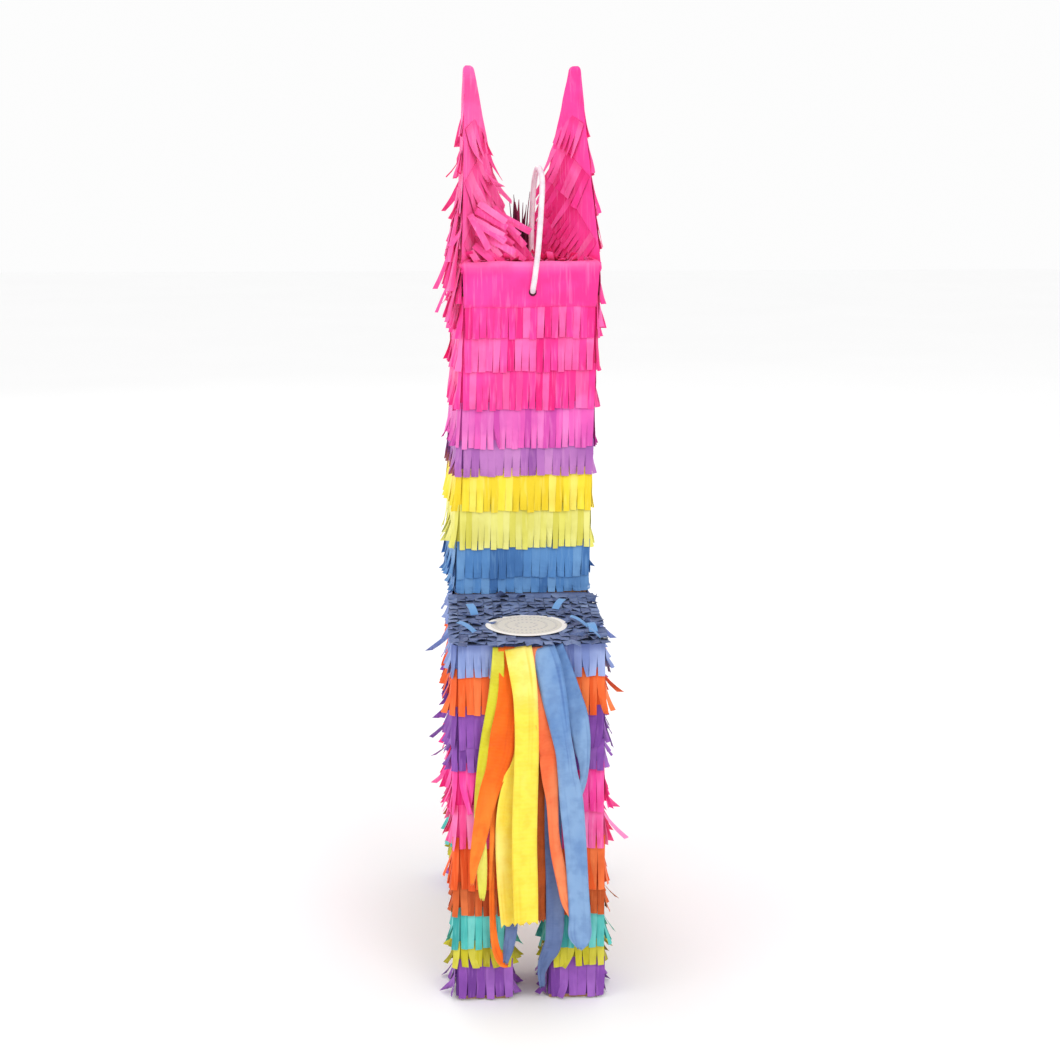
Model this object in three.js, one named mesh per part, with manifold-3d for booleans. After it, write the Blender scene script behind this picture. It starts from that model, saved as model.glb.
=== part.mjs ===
// Box-built party pinata in the shape of a standing llama: a card shell of flat panels, paper fringe
// glued over it in bands, a hanging loop on the head, a filling flap in the back and paper tail
// streamers. Millimetres, +Z up. The animal faces +Y and its right-hand side in a rear view is +X.
import * as THREE from 'three';
import { mergeVertices } from 'three/addons/utils/BufferGeometryUtils.js';
import Module from 'manifold-3d';

const wasm = await Module();
wasm.setup();

// ---- driving dimensions -------------------------------------------------------------------------
const BODY_WIDTH = 87;
const BODY_LENGTH = 205;
const BODY_HEIGHT = 112;
const LEG_HEIGHT = 109;
const NECK_DEPTH = 81;
const NECK_HEIGHT = 209; // from the back to the top of the head
const NECK_OFFSET = -2; // the neck is glued on a little to the left
const NECK_TWIST = 4; // degrees, the head looks a little to the left
const LEAN = 0.031; // sideways lean of the neck, mm per mm of height
const MUZZLE_LENGTH = 72;
const MUZZLE_WIDTH = 62;
const MUZZLE_HEIGHT = 53;
const MUZZLE_DROP = 25; // from the top of the head to the bridge of the muzzle
const HEAD_TISSUE_DROP = 13; // how far the head's paper reaches below the muzzle
const LEG_WIDTH = 33;
const LEG_DEPTH = 38;
const EAR_HEIGHT = 119;
const EAR_DEPTH = 66;
const EAR_VALLEY = 5; // half the space left between the ears at their front corners
const EAR_TIP = 0.92; // the pyramid is blunted at this share of its full height

const CARD = 2; // wall of the shell
const TISSUE = 1.2; // one glued band of fringe, pressed flat
const GAP = 0.3; // clearance between pieces that touch
const SKIN = TISSUE + GAP; // from the outer surface to the card
const SOLE_RELIEF = 1; // the fringe stops this far above the ground

const STICKER_RADIUS = 24.5;
const STICKER_THICKNESS = 0.5;
const STICKER_TO_RUMP = 39;
const STICKER_OVERLAP = 4.5; // how far the sticker reaches past the flap
const FLAP_NECK_WIDTH = 22;
const FLAP_CLEARANCE = 0.5;

const LOOP_DIAMETER = 3.6;
const LOOP_HOLE_RADIUS = 3;
const LOOP_REAR_SIDE = 1; // the holes lie a little to the right of the middle
const LOOP_TOP_SIDE = 4;
const LOOP_REAR_HOLE_DROP = 17; // below the head top
const LOOP_TOP_HOLE_INSET = 36; // forward of the neck's rear face
const LOOP_RISE = 60; // top of the loop above the head top
const KNOT_RADIUS = 4;

const STREAMER_THICKNESS = 0.8;
const STREAMER_PITCH = 2;
const STREAMER_DROP = 2; // glue line below the back's edge
const TAIL_TAB_WIDTH = 44;
const TAIL_TAB_HEIGHT = 17;

const EYE_RADIUS = 11;
const NOSTRIL_RADIUS = 4;
const DISC_THICKNESS = 1;

// ---- places that follow from them ---------------------------------------------------------------
const BELLY_HEIGHT = LEG_HEIGHT;
const BACK_HEIGHT = LEG_HEIGHT + BODY_HEIGHT;
const HEAD_TOP = BACK_HEIGHT + NECK_HEIGHT;
const MUZZLE_TOP = HEAD_TOP - MUZZLE_DROP;
const MUZZLE_BOTTOM = MUZZLE_TOP - MUZZLE_HEIGHT;
const HALF_WIDTH = BODY_WIDTH / 2;
const NECK_REAR = BODY_LENGTH - NECK_DEPTH;
const NECK_CENTRE = BODY_LENGTH - NECK_DEPTH / 2;
const MUZZLE_TIP = BODY_LENGTH + MUZZLE_LENGTH;
const CARD_TOP = BACK_HEIGHT - SKIN; // top of the body's card box
const NECK_BASE = CARD_TOP + GAP;
const BETWEEN_SIDES = BODY_WIDTH - 2 * (SKIN + CARD + GAP);
const FLAP_RADIUS = STICKER_RADIUS - STICKER_OVERLAP;
const STREAMER_TOP = BACK_HEIGHT - STREAMER_DROP;

// bands of fringe share out a height in these proportions, from the lowest band up
const BODY_BANDS = [35, 34, 23, 18.5];
const NECK_BANDS = [30, 24, 23, 18, 24];
function bandEdges(proportions, bottom, top) {
  const whole = proportions.reduce((sum, part) => sum + part, 0);
  let height = bottom;
  return [bottom, ...proportions.map((part) => (height += ((top - bottom) * part) / whole))];
}
const BODY_BAND_EDGES = bandEdges(BODY_BANDS, BELLY_HEIGHT, CARD_TOP);
const NECK_BAND_EDGES = bandEdges(NECK_BANDS, NECK_BASE, MUZZLE_BOTTOM - HEAD_TISSUE_DROP);

// ---- papers and card ----------------------------------------------------------------------------
const paper = (name, color) => {
  const material = new THREE.MeshStandardMaterial({ color, roughness: 0.85, metalness: 0 });
  material.name = name;
  return material;
};
const CARDBOARD = new THREE.MeshStandardMaterial({ color: 0xb48a5c, roughness: 0.9, metalness: 0 });
const CORD_PLASTIC = new THREE.MeshStandardMaterial({ color: 0xe9e9e6, roughness: 0.35, metalness: 0 });
const PAPERS = {
  pink: paper('pink_tissue', 0xff4ba0),
  violet: paper('violet_tissue', 0xd75abe),
  purple: paper('purple_tissue', 0x9a55b4),
  orange: paper('orange_tissue', 0xfa6928),
  lavender: paper('lavender_tissue', 0x8ca0d7),
  blue: paper('blue_tissue', 0x5a91cd),
  slate: paper('slate_blue_tissue', 0x5f76a5),
  lime: paper('lime_tissue', 0xe1e15a),
  yellow: paper('yellow_tissue', 0xffe132),
  salmon: paper('salmon_crepe', 0xf07850),
  white: paper('white_paper', 0xf2efe6),
  black: paper('black_paper', 0x1c1a1c),
};

// ---- shape helpers ------------------------------------------------------------------------------
const root = new THREE.Group();
const llama = new THREE.Group();
root.add(llama);

// the neck and everything on it turn together about the neck's upright middle line
const neckTurn = new THREE.Group();
neckTurn.position.set(NECK_OFFSET, NECK_CENTRE, 0);
neckTurn.rotation.z = THREE.MathUtils.degToRad(NECK_TWIST);
llama.add(neckTurn);
const neck = new THREE.Group();
neck.position.y = -NECK_CENTRE;
neckTurn.add(neck);

function add(name, geometry, material, place = [0, 0, 0], group = llama) {
  const mesh = new THREE.Mesh(geometry, material);
  mesh.name = name;
  mesh.position.set(...place);
  group.add(mesh);
}

function toSolid(geometry) {
  const bare = geometry.index ? geometry.toNonIndexed() : geometry.clone();
  bare.deleteAttribute('normal');
  bare.deleteAttribute('uv');
  const merged = mergeVertices(bare, 1e-4);
  return new wasm.Manifold(
    new wasm.Mesh({
      numProp: 3,
      vertProperties: new Float32Array(merged.attributes.position.array),
      triVerts: new Uint32Array(merged.index.array),
    })
  );
}

function fromSolid(solid) {
  const { vertProperties, triVerts } = solid.getMesh();
  const geometry = new THREE.BufferGeometry();
  geometry.setAttribute('position', new THREE.BufferAttribute(vertProperties, 3));
  geometry.setIndex(new THREE.BufferAttribute(triVerts, 1));
  geometry.computeVertexNormals();
  return geometry;
}

function cut(geometry, ...cutters) {
  let solid = toSolid(geometry);
  for (const cutter of cutters) solid = solid.subtract(toSolid(cutter));
  return fromSolid(solid);
}

// a box between two opposite corners, in place
function block([x0, y0, z0], [x1, y1, z1]) {
  const box = new THREE.BoxGeometry(x1 - x0, y1 - y0, z1 - z0);
  return box.translate((x0 + x1) / 2, (y0 + y1) / 2, (z0 + z1) / 2);
}

// a flat outline in X and Y, extruded up from z0 to z1
function slab(shape, z0, z1, curveSegments = 24) {
  const options = { depth: z1 - z0, bevelEnabled: false, curveSegments };
  return new THREE.ExtrudeGeometry(shape, options).translate(0, 0, z0);
}

function rectangle(x0, y0, x1, y1) {
  const corners = [[x0, y0], [x1, y0], [x1, y1], [x0, y1]];
  return corners.map(([x, y]) => new THREE.Vector2(x, y));
}

// a glued band around a rectangular box, from z0 to z1
function sleeve(x0, y0, x1, y1, z0, z1) {
  const shape = new THREE.Shape(rectangle(x0, y0, x1, y1));
  const inside = rectangle(x0 + TISSUE, y0 + TISSUE, x1 - TISSUE, y1 - TISSUE);
  shape.holes.push(new THREE.Path(inside));
  return slab(shape, z0, z1);
}

// the neck and head lean sideways as they rise, with every level kept horizontal
const LEANING = new THREE.Matrix4().set(
  1, 0, LEAN, -LEAN * BACK_HEIGHT,
  0, 1, 0, 0,
  0, 0, 1, 0,
  0, 0, 0, 1
);
const addLeaning = (name, geometry, material) => {
  add(name, geometry.applyMatrix4(LEANING), material, [0, 0, 0], neck);
};
const leanAt = (z) => LEAN * (z - BACK_HEIGHT);

function disc(radius, thickness, segments = 48) {
  return new THREE.CylinderGeometry(radius, radius, thickness, segments).rotateX(Math.PI / 2);
}

// ---- body: six card panels ----------------------------------------------------------------------
function addBody() {
  const outer = HALF_WIDTH - SKIN;
  const rear = SKIN;
  const front = BODY_LENGTH - SKIN;
  const between = BETWEEN_SIDES / 2;
  for (const [name, side] of [['left', -1], ['right', 1]]) {
    const x = [side * outer, side * (outer - CARD)].sort((a, b) => a - b);
    const panel = block([x[0], rear, BELLY_HEIGHT], [x[1], front, CARD_TOP]);
    add(`body_side_${name}`, panel, CARDBOARD);
  }
  add('rump_panel', block([-between, rear, BELLY_HEIGHT], [between, rear + CARD, CARD_TOP]), CARDBOARD);
  add('chest_panel', block([-between, front - CARD, BELLY_HEIGHT], [between, front, CARD_TOP]), CARDBOARD);
  const inner = [rear + CARD + GAP, front - CARD - GAP];
  const belly = block([-between, inner[0], BELLY_HEIGHT], [between, inner[1], BELLY_HEIGHT + CARD]);
  add('belly_panel', belly, CARDBOARD);
  const back = block([-between, inner[0], CARD_TOP - CARD], [between, inner[1], CARD_TOP]);
  const hole = slab(flapOutline(FLAP_CLEARANCE), CARD_TOP - 2 * CARD, CARD_TOP + CARD);
  add('back_panel', cut(back, hole), CARDBOARD);
}

// ---- filling flap: a round tongue that folds up about the sticker's front edge -------------------
function flapOutline(clearance) {
  const radius = FLAP_RADIUS + clearance;
  const half = FLAP_NECK_WIDTH / 2 + clearance;
  const start = Math.asin(half / radius);
  const shape = new THREE.Shape();
  shape.moveTo(half, STICKER_TO_RUMP + STICKER_RADIUS + clearance);
  shape.lineTo(half, STICKER_TO_RUMP + radius * Math.cos(start));
  shape.absarc(0, STICKER_TO_RUMP, radius, Math.PI / 2 - start, Math.PI / 2 + start, true);
  shape.lineTo(-half, STICKER_TO_RUMP + STICKER_RADIUS + clearance);
  return shape;
}

function addFillingFlap() {
  add('fill_flap', slab(flapOutline(0), CARD_TOP - CARD, BACK_HEIGHT), PAPERS.slate);
  const height = BACK_HEIGHT + GAP + STICKER_THICKNESS / 2;
  const sticker = disc(STICKER_RADIUS, STICKER_THICKNESS, 64);
  add('fill_sticker', sticker, PAPERS.white, [0, STICKER_TO_RUMP, height]);
}

// ---- legs: four square card tubes with closed soles ----------------------------------------------
function addLegs() {
  for (const [side, sign] of [['left', -1], ['right', 1]]) {
    for (const end of ['rear', 'front']) {
      const x = sign * (HALF_WIDTH - LEG_WIDTH / 2);
      const y = end === 'rear' ? LEG_DEPTH / 2 : BODY_LENGTH - LEG_DEPTH / 2;
      const half = [LEG_WIDTH / 2 - SKIN, LEG_DEPTH / 2 - SKIN];
      const top = BELLY_HEIGHT - GAP;
      const tube = block([-half[0], -half[1], 0], [half[0], half[1], top]);
      const room = [half[0] - CARD, half[1] - CARD];
      const inside = block([-room[0], -room[1], CARD], [room[0], room[1], top + CARD]);
      add(`leg_${end}_${side}`, cut(tube, inside), CARDBOARD, [x, y, 0]);
      const w = LEG_WIDTH / 2;
      const d = LEG_DEPTH / 2;
      const band = sleeve(-w, -d, w, d, SOLE_RELIEF, top);
      add(`leg_fringe_${end}_${side}`, band, PAPERS.orange, [x, y, 0]);
    }
  }
}

// ---- fringe bands on the body and the neck --------------------------------------------------------
function addBodyFringe() {
  const colours = ['pink', 'purple', 'orange', 'lavender'];
  colours.forEach((colour, i) => {
    const bottom = BODY_BAND_EDGES[i] + (i > 0 ? GAP : 0);
    const band = sleeve(-HALF_WIDTH, 0, HALF_WIDTH, BODY_LENGTH, bottom, BODY_BAND_EDGES[i + 1]);
    add(`body_fringe_${colour}`, band, PAPERS[colour]);
  });
  const rear = [-HALF_WIDTH, 0, BACK_HEIGHT - TISSUE];
  const top = block(rear, [HALF_WIDTH, NECK_CENTRE, BACK_HEIGHT]);
  const hole = slab(flapOutline(FLAP_CLEARANCE), CARD_TOP - CARD, BACK_HEIGHT + CARD);
  const foot = block(
    [-BODY_WIDTH, NECK_REAR - GAP, CARD_TOP - CARD],
    [BODY_WIDTH, BODY_LENGTH, BACK_HEIGHT + CARD]
  );
  neck.updateWorldMatrix(true, false);
  add('back_fringe', cut(top, hole, foot.applyMatrix4(neck.matrixWorld)), PAPERS.slate);
}

function addNeckFringe() {
  const colours = ['blue', 'lime', 'yellow', 'purple', 'violet'];
  colours.forEach((colour, i) => {
    const bottom = NECK_BAND_EDGES[i] + (i > 0 ? GAP : 0);
    const top = NECK_BAND_EDGES[i + 1];
    const band = sleeve(-HALF_WIDTH, NECK_REAR, HALF_WIDTH, BODY_LENGTH, bottom, top);
    addLeaning(`neck_fringe_${colour}`, band, PAPERS[colour]);
  });
}

// ---- neck and head: a square card tube with a lid, and a smaller box for the muzzle ----------------
const LOOP_REAR_HOLE = new THREE.Vector3(LOOP_REAR_SIDE, NECK_REAR, HEAD_TOP - LOOP_REAR_HOLE_DROP);
const LOOP_TOP_HOLE = new THREE.Vector3(LOOP_TOP_SIDE, NECK_REAR + LOOP_TOP_HOLE_INSET, HEAD_TOP);

// drills for the two holes that the hanging loop passes through
function loopDrills() {
  const length = 4 * CARD + 2 * SKIN;
  const make = () => new THREE.CylinderGeometry(LOOP_HOLE_RADIUS, LOOP_HOLE_RADIUS, length, 16);
  const rear = make().translate(...LOOP_REAR_HOLE.toArray());
  const top = make().rotateX(Math.PI / 2).translate(...LOOP_TOP_HOLE.toArray());
  return [rear, top];
}

function addNeckAndHead() {
  const outer = HALF_WIDTH - SKIN;
  const between = BETWEEN_SIDES / 2;
  const [rear, throat, top] = [NECK_REAR + SKIN, BODY_LENGTH - SKIN, HEAD_TOP - SKIN];
  for (const [name, side] of [['left', -1], ['right', 1]]) {
    const x = [side * outer, side * (outer - CARD)].sort((a, b) => a - b);
    addLeaning(`neck_side_${name}`, block([x[0], rear, NECK_BASE], [x[1], throat, top]), CARDBOARD);
  }
  const strip = (name, [y0, z0], [y1, z1], ...drills) => {
    const card = block([-between, y0, z0], [between, y1, z1]);
    addLeaning(name, drills.length ? cut(card, ...drills) : card, CARDBOARD);
  };
  const [rearDrill, topDrill] = loopDrills();
  strip('neck_rear_panel', [rear, NECK_BASE], [rear + CARD, top], rearDrill);
  strip('neck_front_panel', [throat - CARD, NECK_BASE], [throat, top]);
  strip('head_top_panel', [rear + CARD + GAP, top - CARD], [throat - CARD - GAP, top], topDrill);
}

// a five-sided card box, glued by its open end to the front of the head
function addMuzzle() {
  const outer = MUZZLE_WIDTH / 2 - SKIN;
  const between = outer - CARD - GAP;
  const [start, tip] = [BODY_LENGTH - SKIN + GAP, MUZZLE_TIP - SKIN];
  const [chin, bridge] = [MUZZLE_BOTTOM + SKIN, MUZZLE_TOP - SKIN];
  for (const [name, side] of [['left', -1], ['right', 1]]) {
    const x = [side * outer, side * (outer - CARD)].sort((a, b) => a - b);
    addLeaning(`muzzle_side_${name}`, block([x[0], start, chin], [x[1], tip, bridge]), CARDBOARD);
  }
  const strip = (name, [y0, z0], [y1, z1]) => {
    addLeaning(name, block([-between, y0, z0], [between, y1, z1]), CARDBOARD);
  };
  strip('nose_panel', [tip - CARD, chin], [tip, bridge]);
  strip('chin_panel', [start, chin], [tip - CARD - GAP, chin + CARD]);
  strip('bridge_panel', [start, bridge - CARD], [tip - CARD - GAP, bridge]);
}

// one folded sheet over the whole head, open below where the neck comes in
function addHeadTissue() {
  const bottom = NECK_BAND_EDGES.at(-1) + GAP;
  const head = (inset, low) =>
    block(
      [inset - HALF_WIDTH, NECK_REAR + inset, low],
      [HALF_WIDTH - inset, BODY_LENGTH - inset, HEAD_TOP - inset]
    );
  const muzzle = (inset) =>
    block(
      [inset - MUZZLE_WIDTH / 2, NECK_CENTRE, MUZZLE_BOTTOM + inset],
      [MUZZLE_WIDTH / 2 - inset, MUZZLE_TIP - inset, MUZZLE_TOP - inset]
    );
  const outer = fromSolid(toSolid(head(0, bottom)).add(toSolid(muzzle(0))));
  const tissue = cut(outer, head(TISSUE, bottom - CARD), muzzle(TISSUE), ...loopDrills());
  addLeaning('head_tissue', tissue, PAPERS.pink);
}

// ---- ears: three-sided folded pyramids, hollow and open below --------------------------------------
// a pyramid frustum on the ear's base triangle, set in from the outer surface by inset
function earSolid(side, tipInset, inset, bottom, leftAtTop) {
  const base = [
    new THREE.Vector2(HALF_WIDTH, NECK_REAR),
    new THREE.Vector2(HALF_WIDTH, NECK_REAR + EAR_DEPTH),
    new THREE.Vector2(EAR_VALLEY, NECK_REAR + EAR_DEPTH),
  ];
  const edges = base.map((corner, i) => corner.distanceTo(base[(i + 2) % 3]));
  const opposite = [base[1].distanceTo(base[2]), base[2].distanceTo(base[0]), base[0].distanceTo(base[1])];
  const perimeter = edges.reduce((sum, edge) => sum + edge, 0);
  const inradius = (EAR_DEPTH * (HALF_WIDTH - EAR_VALLEY)) / perimeter;
  const centre = new THREE.Vector2();
  base.forEach((corner, i) => centre.addScaledVector(corner, opposite[i] / perimeter));
  const apex = new THREE.Vector2(HALF_WIDTH - tipInset, NECK_REAR + tipInset / 2 + CARD);
  const apexHeight = EAR_HEIGHT / EAR_TIP;

  // the triangle at a share of the height: the base shrunk towards the apex, then set in
  const level = (share) => {
    const middle = centre.clone().lerp(apex, share);
    const size = 1 - share - inset / inradius;
    return base.map((corner) => corner.clone().sub(centre).multiplyScalar(size).add(middle));
  };
  const topShare = Math.min(EAR_TIP, 1 - (inset + leftAtTop) / inradius);
  const rings = [
    { outline: level(bottom / apexHeight), z: HEAD_TOP + bottom },
    { outline: level(topShare), z: HEAD_TOP + apexHeight * topShare },
  ];
  const vertices = rings.flatMap(({ outline, z }) => outline.flatMap(({ x, y }) => [side * x, y, z]));
  const faces = [0, 2, 1, 3, 4, 5];
  for (let i = 0; i < 3; i++) {
    const j = (i + 1) % 3;
    faces.push(i, j, 3 + j, i, 3 + j, 3 + i);
  }
  if (side < 0) faces.reverse();
  const geometry = new THREE.BufferGeometry();
  geometry.setAttribute('position', new THREE.Float32BufferAttribute(vertices, 3));
  geometry.setIndex(faces);
  return geometry.translate(leanAt(HEAD_TOP), 0, 0);
}

function addEars() {
  const ears = [
    { name: 'left', side: -1, tipInset: 4 },
    { name: 'right', side: 1, tipInset: 15 },
  ];
  const slack = GAP * 1.5; // the walls slope, so a level gap is larger than the one across the wall
  for (const { name, side, tipInset } of ears) {
    const shell = (inset, wall, leftAtTop) =>
      cut(
        earSolid(side, tipInset, inset, GAP, leftAtTop),
        earSolid(side, tipInset, inset + wall, GAP - CARD, leftAtTop)
      );
    add(`ear_card_${name}`, shell(TISSUE + slack, CARD, 1.2), CARDBOARD, [0, 0, 0], neck);
    add(`ear_tissue_${name}`, shell(0, TISSUE, 0.6), PAPERS.pink, [0, 0, 0], neck);
  }
}

// ---- forelock, eyes and nostrils -------------------------------------------------------------------
function addForelock() {
  const spikes = [34, 44, 52, 40, 30];
  const width = 4;
  const shape = new THREE.Shape();
  shape.moveTo(-spikes.length * width / 2, 0);
  spikes.forEach((height, i) => {
    const x = (i - spikes.length / 2) * width;
    shape.lineTo(x + width / 2, height);
    if (i < spikes.length - 1) shape.lineTo(x + width, height / 3);
  });
  shape.lineTo(spikes.length * width / 2, 0);
  const tuft = slab(shape, 0, TISSUE).rotateX(Math.PI / 2);
  const y = NECK_REAR + EAR_DEPTH + 2 * TISSUE + GAP;
  add('forelock', tuft, PAPERS.pink, [leanAt(HEAD_TOP), y, HEAD_TOP + GAP], neck);
}

function addFace() {
  const eyeHeight = (MUZZLE_TOP + HEAD_TOP) / 2 - EYE_RADIUS - 2;
  for (const [name, side] of [['left', -1], ['right', 1]]) {
    const eye = disc(EYE_RADIUS, DISC_THICKNESS, 32).rotateY(Math.PI / 2);
    const out = side * (HALF_WIDTH + GAP + DISC_THICKNESS / 2);
    eye.translate(out, BODY_LENGTH - EYE_RADIUS - 6, eyeHeight);
    addLeaning(`eye_${name}`, eye, PAPERS.black);
    const nostril = disc(NOSTRIL_RADIUS, DISC_THICKNESS, 20).rotateX(Math.PI / 2);
    const y = MUZZLE_TIP + GAP + DISC_THICKNESS / 2;
    nostril.translate(side * MUZZLE_WIDTH / 5, y, MUZZLE_TOP - 3 * NOSTRIL_RADIUS);
    addLeaning(`nostril_${name}`, nostril, PAPERS.black);
  }
}

// ---- hanging loop: a stiff cord through two holes, knotted inside the head --------------------------
function addHangingLoop() {
  const radius = LOOP_DIAMETER / 2;
  const rear = LOOP_REAR_HOLE;
  const top = LOOP_TOP_HOLE;
  const crown = HEAD_TOP + LOOP_RISE - radius;
  const middle = (rear.y + top.y) / 2 - 2;
  const route = [
    [rear.x, rear.y + 10, rear.z + 1],
    [rear.x, rear.y + 4, rear.z - 0.2],
    [rear.x, rear.y - 0.6, rear.z],
    [rear.x, rear.y - 3.4, rear.z + 3],
    [rear.x + 0.1, rear.y - 4, rear.z + 11],
    [rear.x + 0.8, rear.y - 3.4, rear.z + 28],
    [rear.x + 2.2, rear.y + 1, crown - 20],
    [rear.x + 3.4, rear.y + 7, crown - 6],
    [top.x + 2, middle, crown],
    [top.x + 1.8, top.y - 10, crown - 7],
    [top.x + 1.2, top.y - 3, crown - 22],
    [top.x + 0.4, top.y + 0.6, crown - 40],
    [top.x, top.y, top.z + 4],
    [top.x, top.y, top.z - 8],
  ];
  const curve = new THREE.CatmullRomCurve3(route.map((point) => new THREE.Vector3(...point)));
  const section = new THREE.Shape();
  section.absarc(0, 0, radius, 0, 2 * Math.PI, false);
  const options = { steps: 48, extrudePath: curve, curveSegments: 4, bevelEnabled: false };
  addLeaning('hanging_loop', new THREE.ExtrudeGeometry(section, options), CORD_PLASTIC);

  const ends = { rear: [curve.getPoint(0), curve.getTangent(0).negate()] };
  ends.top = [curve.getPoint(1), curve.getTangent(1)];
  for (const [name, [point, away]] of Object.entries(ends)) {
    const knot = new THREE.SphereGeometry(KNOT_RADIUS, 16, 10);
    const centre = point.clone().addScaledVector(away, KNOT_RADIUS + GAP);
    addLeaning(`loop_knot_${name}`, knot.translate(...centre.toArray()), CORD_PLASTIC);
  }
}

// ---- tail: paper streamers hanging from a tab on the rump -------------------------------------------
// drift is how far the lower end has wandered sideways from the top, and end is its height
const STREAMERS = [
  { name: 'orange_inner', colour: 'orange', layer: 0, x: -14, width: 11, drift: 2, end: 16 },
  { name: 'blue_inner', colour: 'blue', layer: 0, x: 7, width: 13, drift: 5, end: 11 },
  { name: 'yellow_inner', colour: 'yellow', layer: 1, x: -4, width: 12, drift: 8, end: 62 },
  { name: 'rust_inner', colour: 'salmon', layer: 1, x: 7, width: 7, drift: 8, end: 46 },
  { name: 'lime_outer', colour: 'lime', layer: 2, x: -18, width: 6, drift: -9, end: 66 },
  { name: 'salmon_outer', colour: 'salmon', layer: 2, x: 4, width: 9, drift: 20, end: 52 },
  { name: 'yellow_outer', colour: 'yellow', layer: 3, x: -7.5, width: 15, drift: 8, end: 54 },
  { name: 'narrow_outer', colour: 'blue', layer: 3, x: 14, width: 5, drift: 19, end: 132 },
  { name: 'blue_outer', colour: 'blue', layer: 4, x: 8, width: 13, drift: 20, end: 39 },
];

function addTail() {
  const tabTop = STREAMER_TOP + GAP;
  const half = TAIL_TAB_WIDTH / 2;
  const tab = block([-half, -GAP - TISSUE, tabTop - TAIL_TAB_HEIGHT], [half, -GAP, tabTop]);
  add('tail_tab', tab, PAPERS.slate);
  const clear = GAP + TISSUE + GAP; // from the rump's surface to the first streamer
  for (const { name, colour, layer, x, width, drift, end } of STREAMERS) {
    const outer = -clear - layer * STREAMER_PITCH - STREAMER_THICKNESS;
    const shape = new THREE.Shape([
      new THREE.Vector2(x - width / 2, STREAMER_TOP),
      new THREE.Vector2(x + drift - width / 2, end),
      new THREE.Vector2(x + drift + width / 2, end),
      new THREE.Vector2(x + width / 2, STREAMER_TOP),
    ]);
    const strip = slab(shape, 0, STREAMER_THICKNESS).rotateX(Math.PI / 2);
    add(`streamer_${name}`, strip, PAPERS[colour], [0, outer + STREAMER_THICKNESS, 0]);
  }
}

addBody();
addFillingFlap();
addLegs();
addBodyFringe();
addNeckAndHead();
addMuzzle();
addNeckFringe();
addHeadTissue();
addEars();
addForelock();
addFace();
addHangingLoop();
addTail();

// the origin is on the ground, under the middle of the whole object
llama.updateMatrixWorld(true);
const bounds = new THREE.Box3().setFromObject(llama, true);
const middle = bounds.getCenter(new THREE.Vector3());
llama.position.set(-middle.x, -middle.y, -bounds.min.z);

export default root;
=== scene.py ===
# %% [markdown]
# # A llama pinata in slit paper
# The real thing is a shell of flat card panels with rows of slit tissue paper glued over it. This
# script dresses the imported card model: every row of fringe, both ears, the tail streamers, the
# sticker and the hanging loop are made here, in the places that the card model gives.
# Geometry Nodes make the fringe, because the same strand repeats along hundreds of slits.

# %% Load the card model
import math
import random

import bmesh
import bpy
from mathutils import Matrix, Vector, noise


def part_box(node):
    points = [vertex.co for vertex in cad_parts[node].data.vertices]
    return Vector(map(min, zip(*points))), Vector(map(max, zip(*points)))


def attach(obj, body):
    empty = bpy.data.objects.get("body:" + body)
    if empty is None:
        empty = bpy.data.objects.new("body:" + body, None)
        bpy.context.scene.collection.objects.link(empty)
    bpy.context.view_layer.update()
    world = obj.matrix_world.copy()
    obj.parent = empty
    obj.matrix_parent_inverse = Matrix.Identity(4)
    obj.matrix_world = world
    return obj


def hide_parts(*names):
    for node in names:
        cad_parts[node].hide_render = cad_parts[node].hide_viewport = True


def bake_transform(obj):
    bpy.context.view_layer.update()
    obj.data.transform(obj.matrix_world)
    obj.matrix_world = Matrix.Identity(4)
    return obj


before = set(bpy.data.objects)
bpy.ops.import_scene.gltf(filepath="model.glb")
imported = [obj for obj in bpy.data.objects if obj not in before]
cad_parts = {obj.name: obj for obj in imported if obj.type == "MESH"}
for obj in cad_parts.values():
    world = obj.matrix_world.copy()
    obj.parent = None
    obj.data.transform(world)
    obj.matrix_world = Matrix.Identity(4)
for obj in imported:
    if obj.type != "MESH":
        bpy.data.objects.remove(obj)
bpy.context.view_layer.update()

# %% [markdown]
# ## Measuring from the card model
# All sizes below are in millimetres, because that is how a maker measures card. ORIGIN is the point
# on the ground under the middle of the rump: `at` turns a place measured from it into metres in the
# scene. The neck leans and turns a little on the real animal, so `neck_at` does the same to a place.

# %% Places
MM = 0.001
body_low, body_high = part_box("body_fringe_pink")
ORIGIN = Vector(((body_low.x + body_high.x) / 2, body_low.y, 0))
BODY_HALF = (body_high.x - body_low.x) / 2 / MM
BODY_LENGTH = (body_high.y - body_low.y) / MM
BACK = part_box("back_fringe")[1].z / MM
HEAD_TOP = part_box("head_tissue")[1].z / MM
MUZZLE_TIP = 277
MUZZLE_HALF = 31
MUZZLE_TOP = HEAD_TOP - 25
MUZZLE_BOTTOM = MUZZLE_TOP - 53
NECK_REAR = BODY_LENGTH - 81
NECK_CENTRE = BODY_LENGTH - 81 / 2
NECK_OFFSET = -2
NECK_TURN = math.radians(4)
NECK_LEAN = 0.031


def at(x, y, z):
    return ORIGIN + Vector((x, y, z)) * MM


def neck_at(x, y, z):
    """A place on the neck or head, as it leans and turns."""
    x += NECK_LEAN * (min(z, HEAD_TOP) - BACK)
    y -= NECK_CENTRE
    turned_x = x * math.cos(NECK_TURN) - y * math.sin(NECK_TURN)
    turned_y = x * math.sin(NECK_TURN) + y * math.cos(NECK_TURN)
    return at(NECK_OFFSET + turned_x, NECK_CENTRE + turned_y, z)


print(f"body {2 * BODY_HALF:.0f} x {BODY_LENGTH:.0f} mm, back at {BACK:.0f}, head top at {HEAD_TOP:.0f}")

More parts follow.
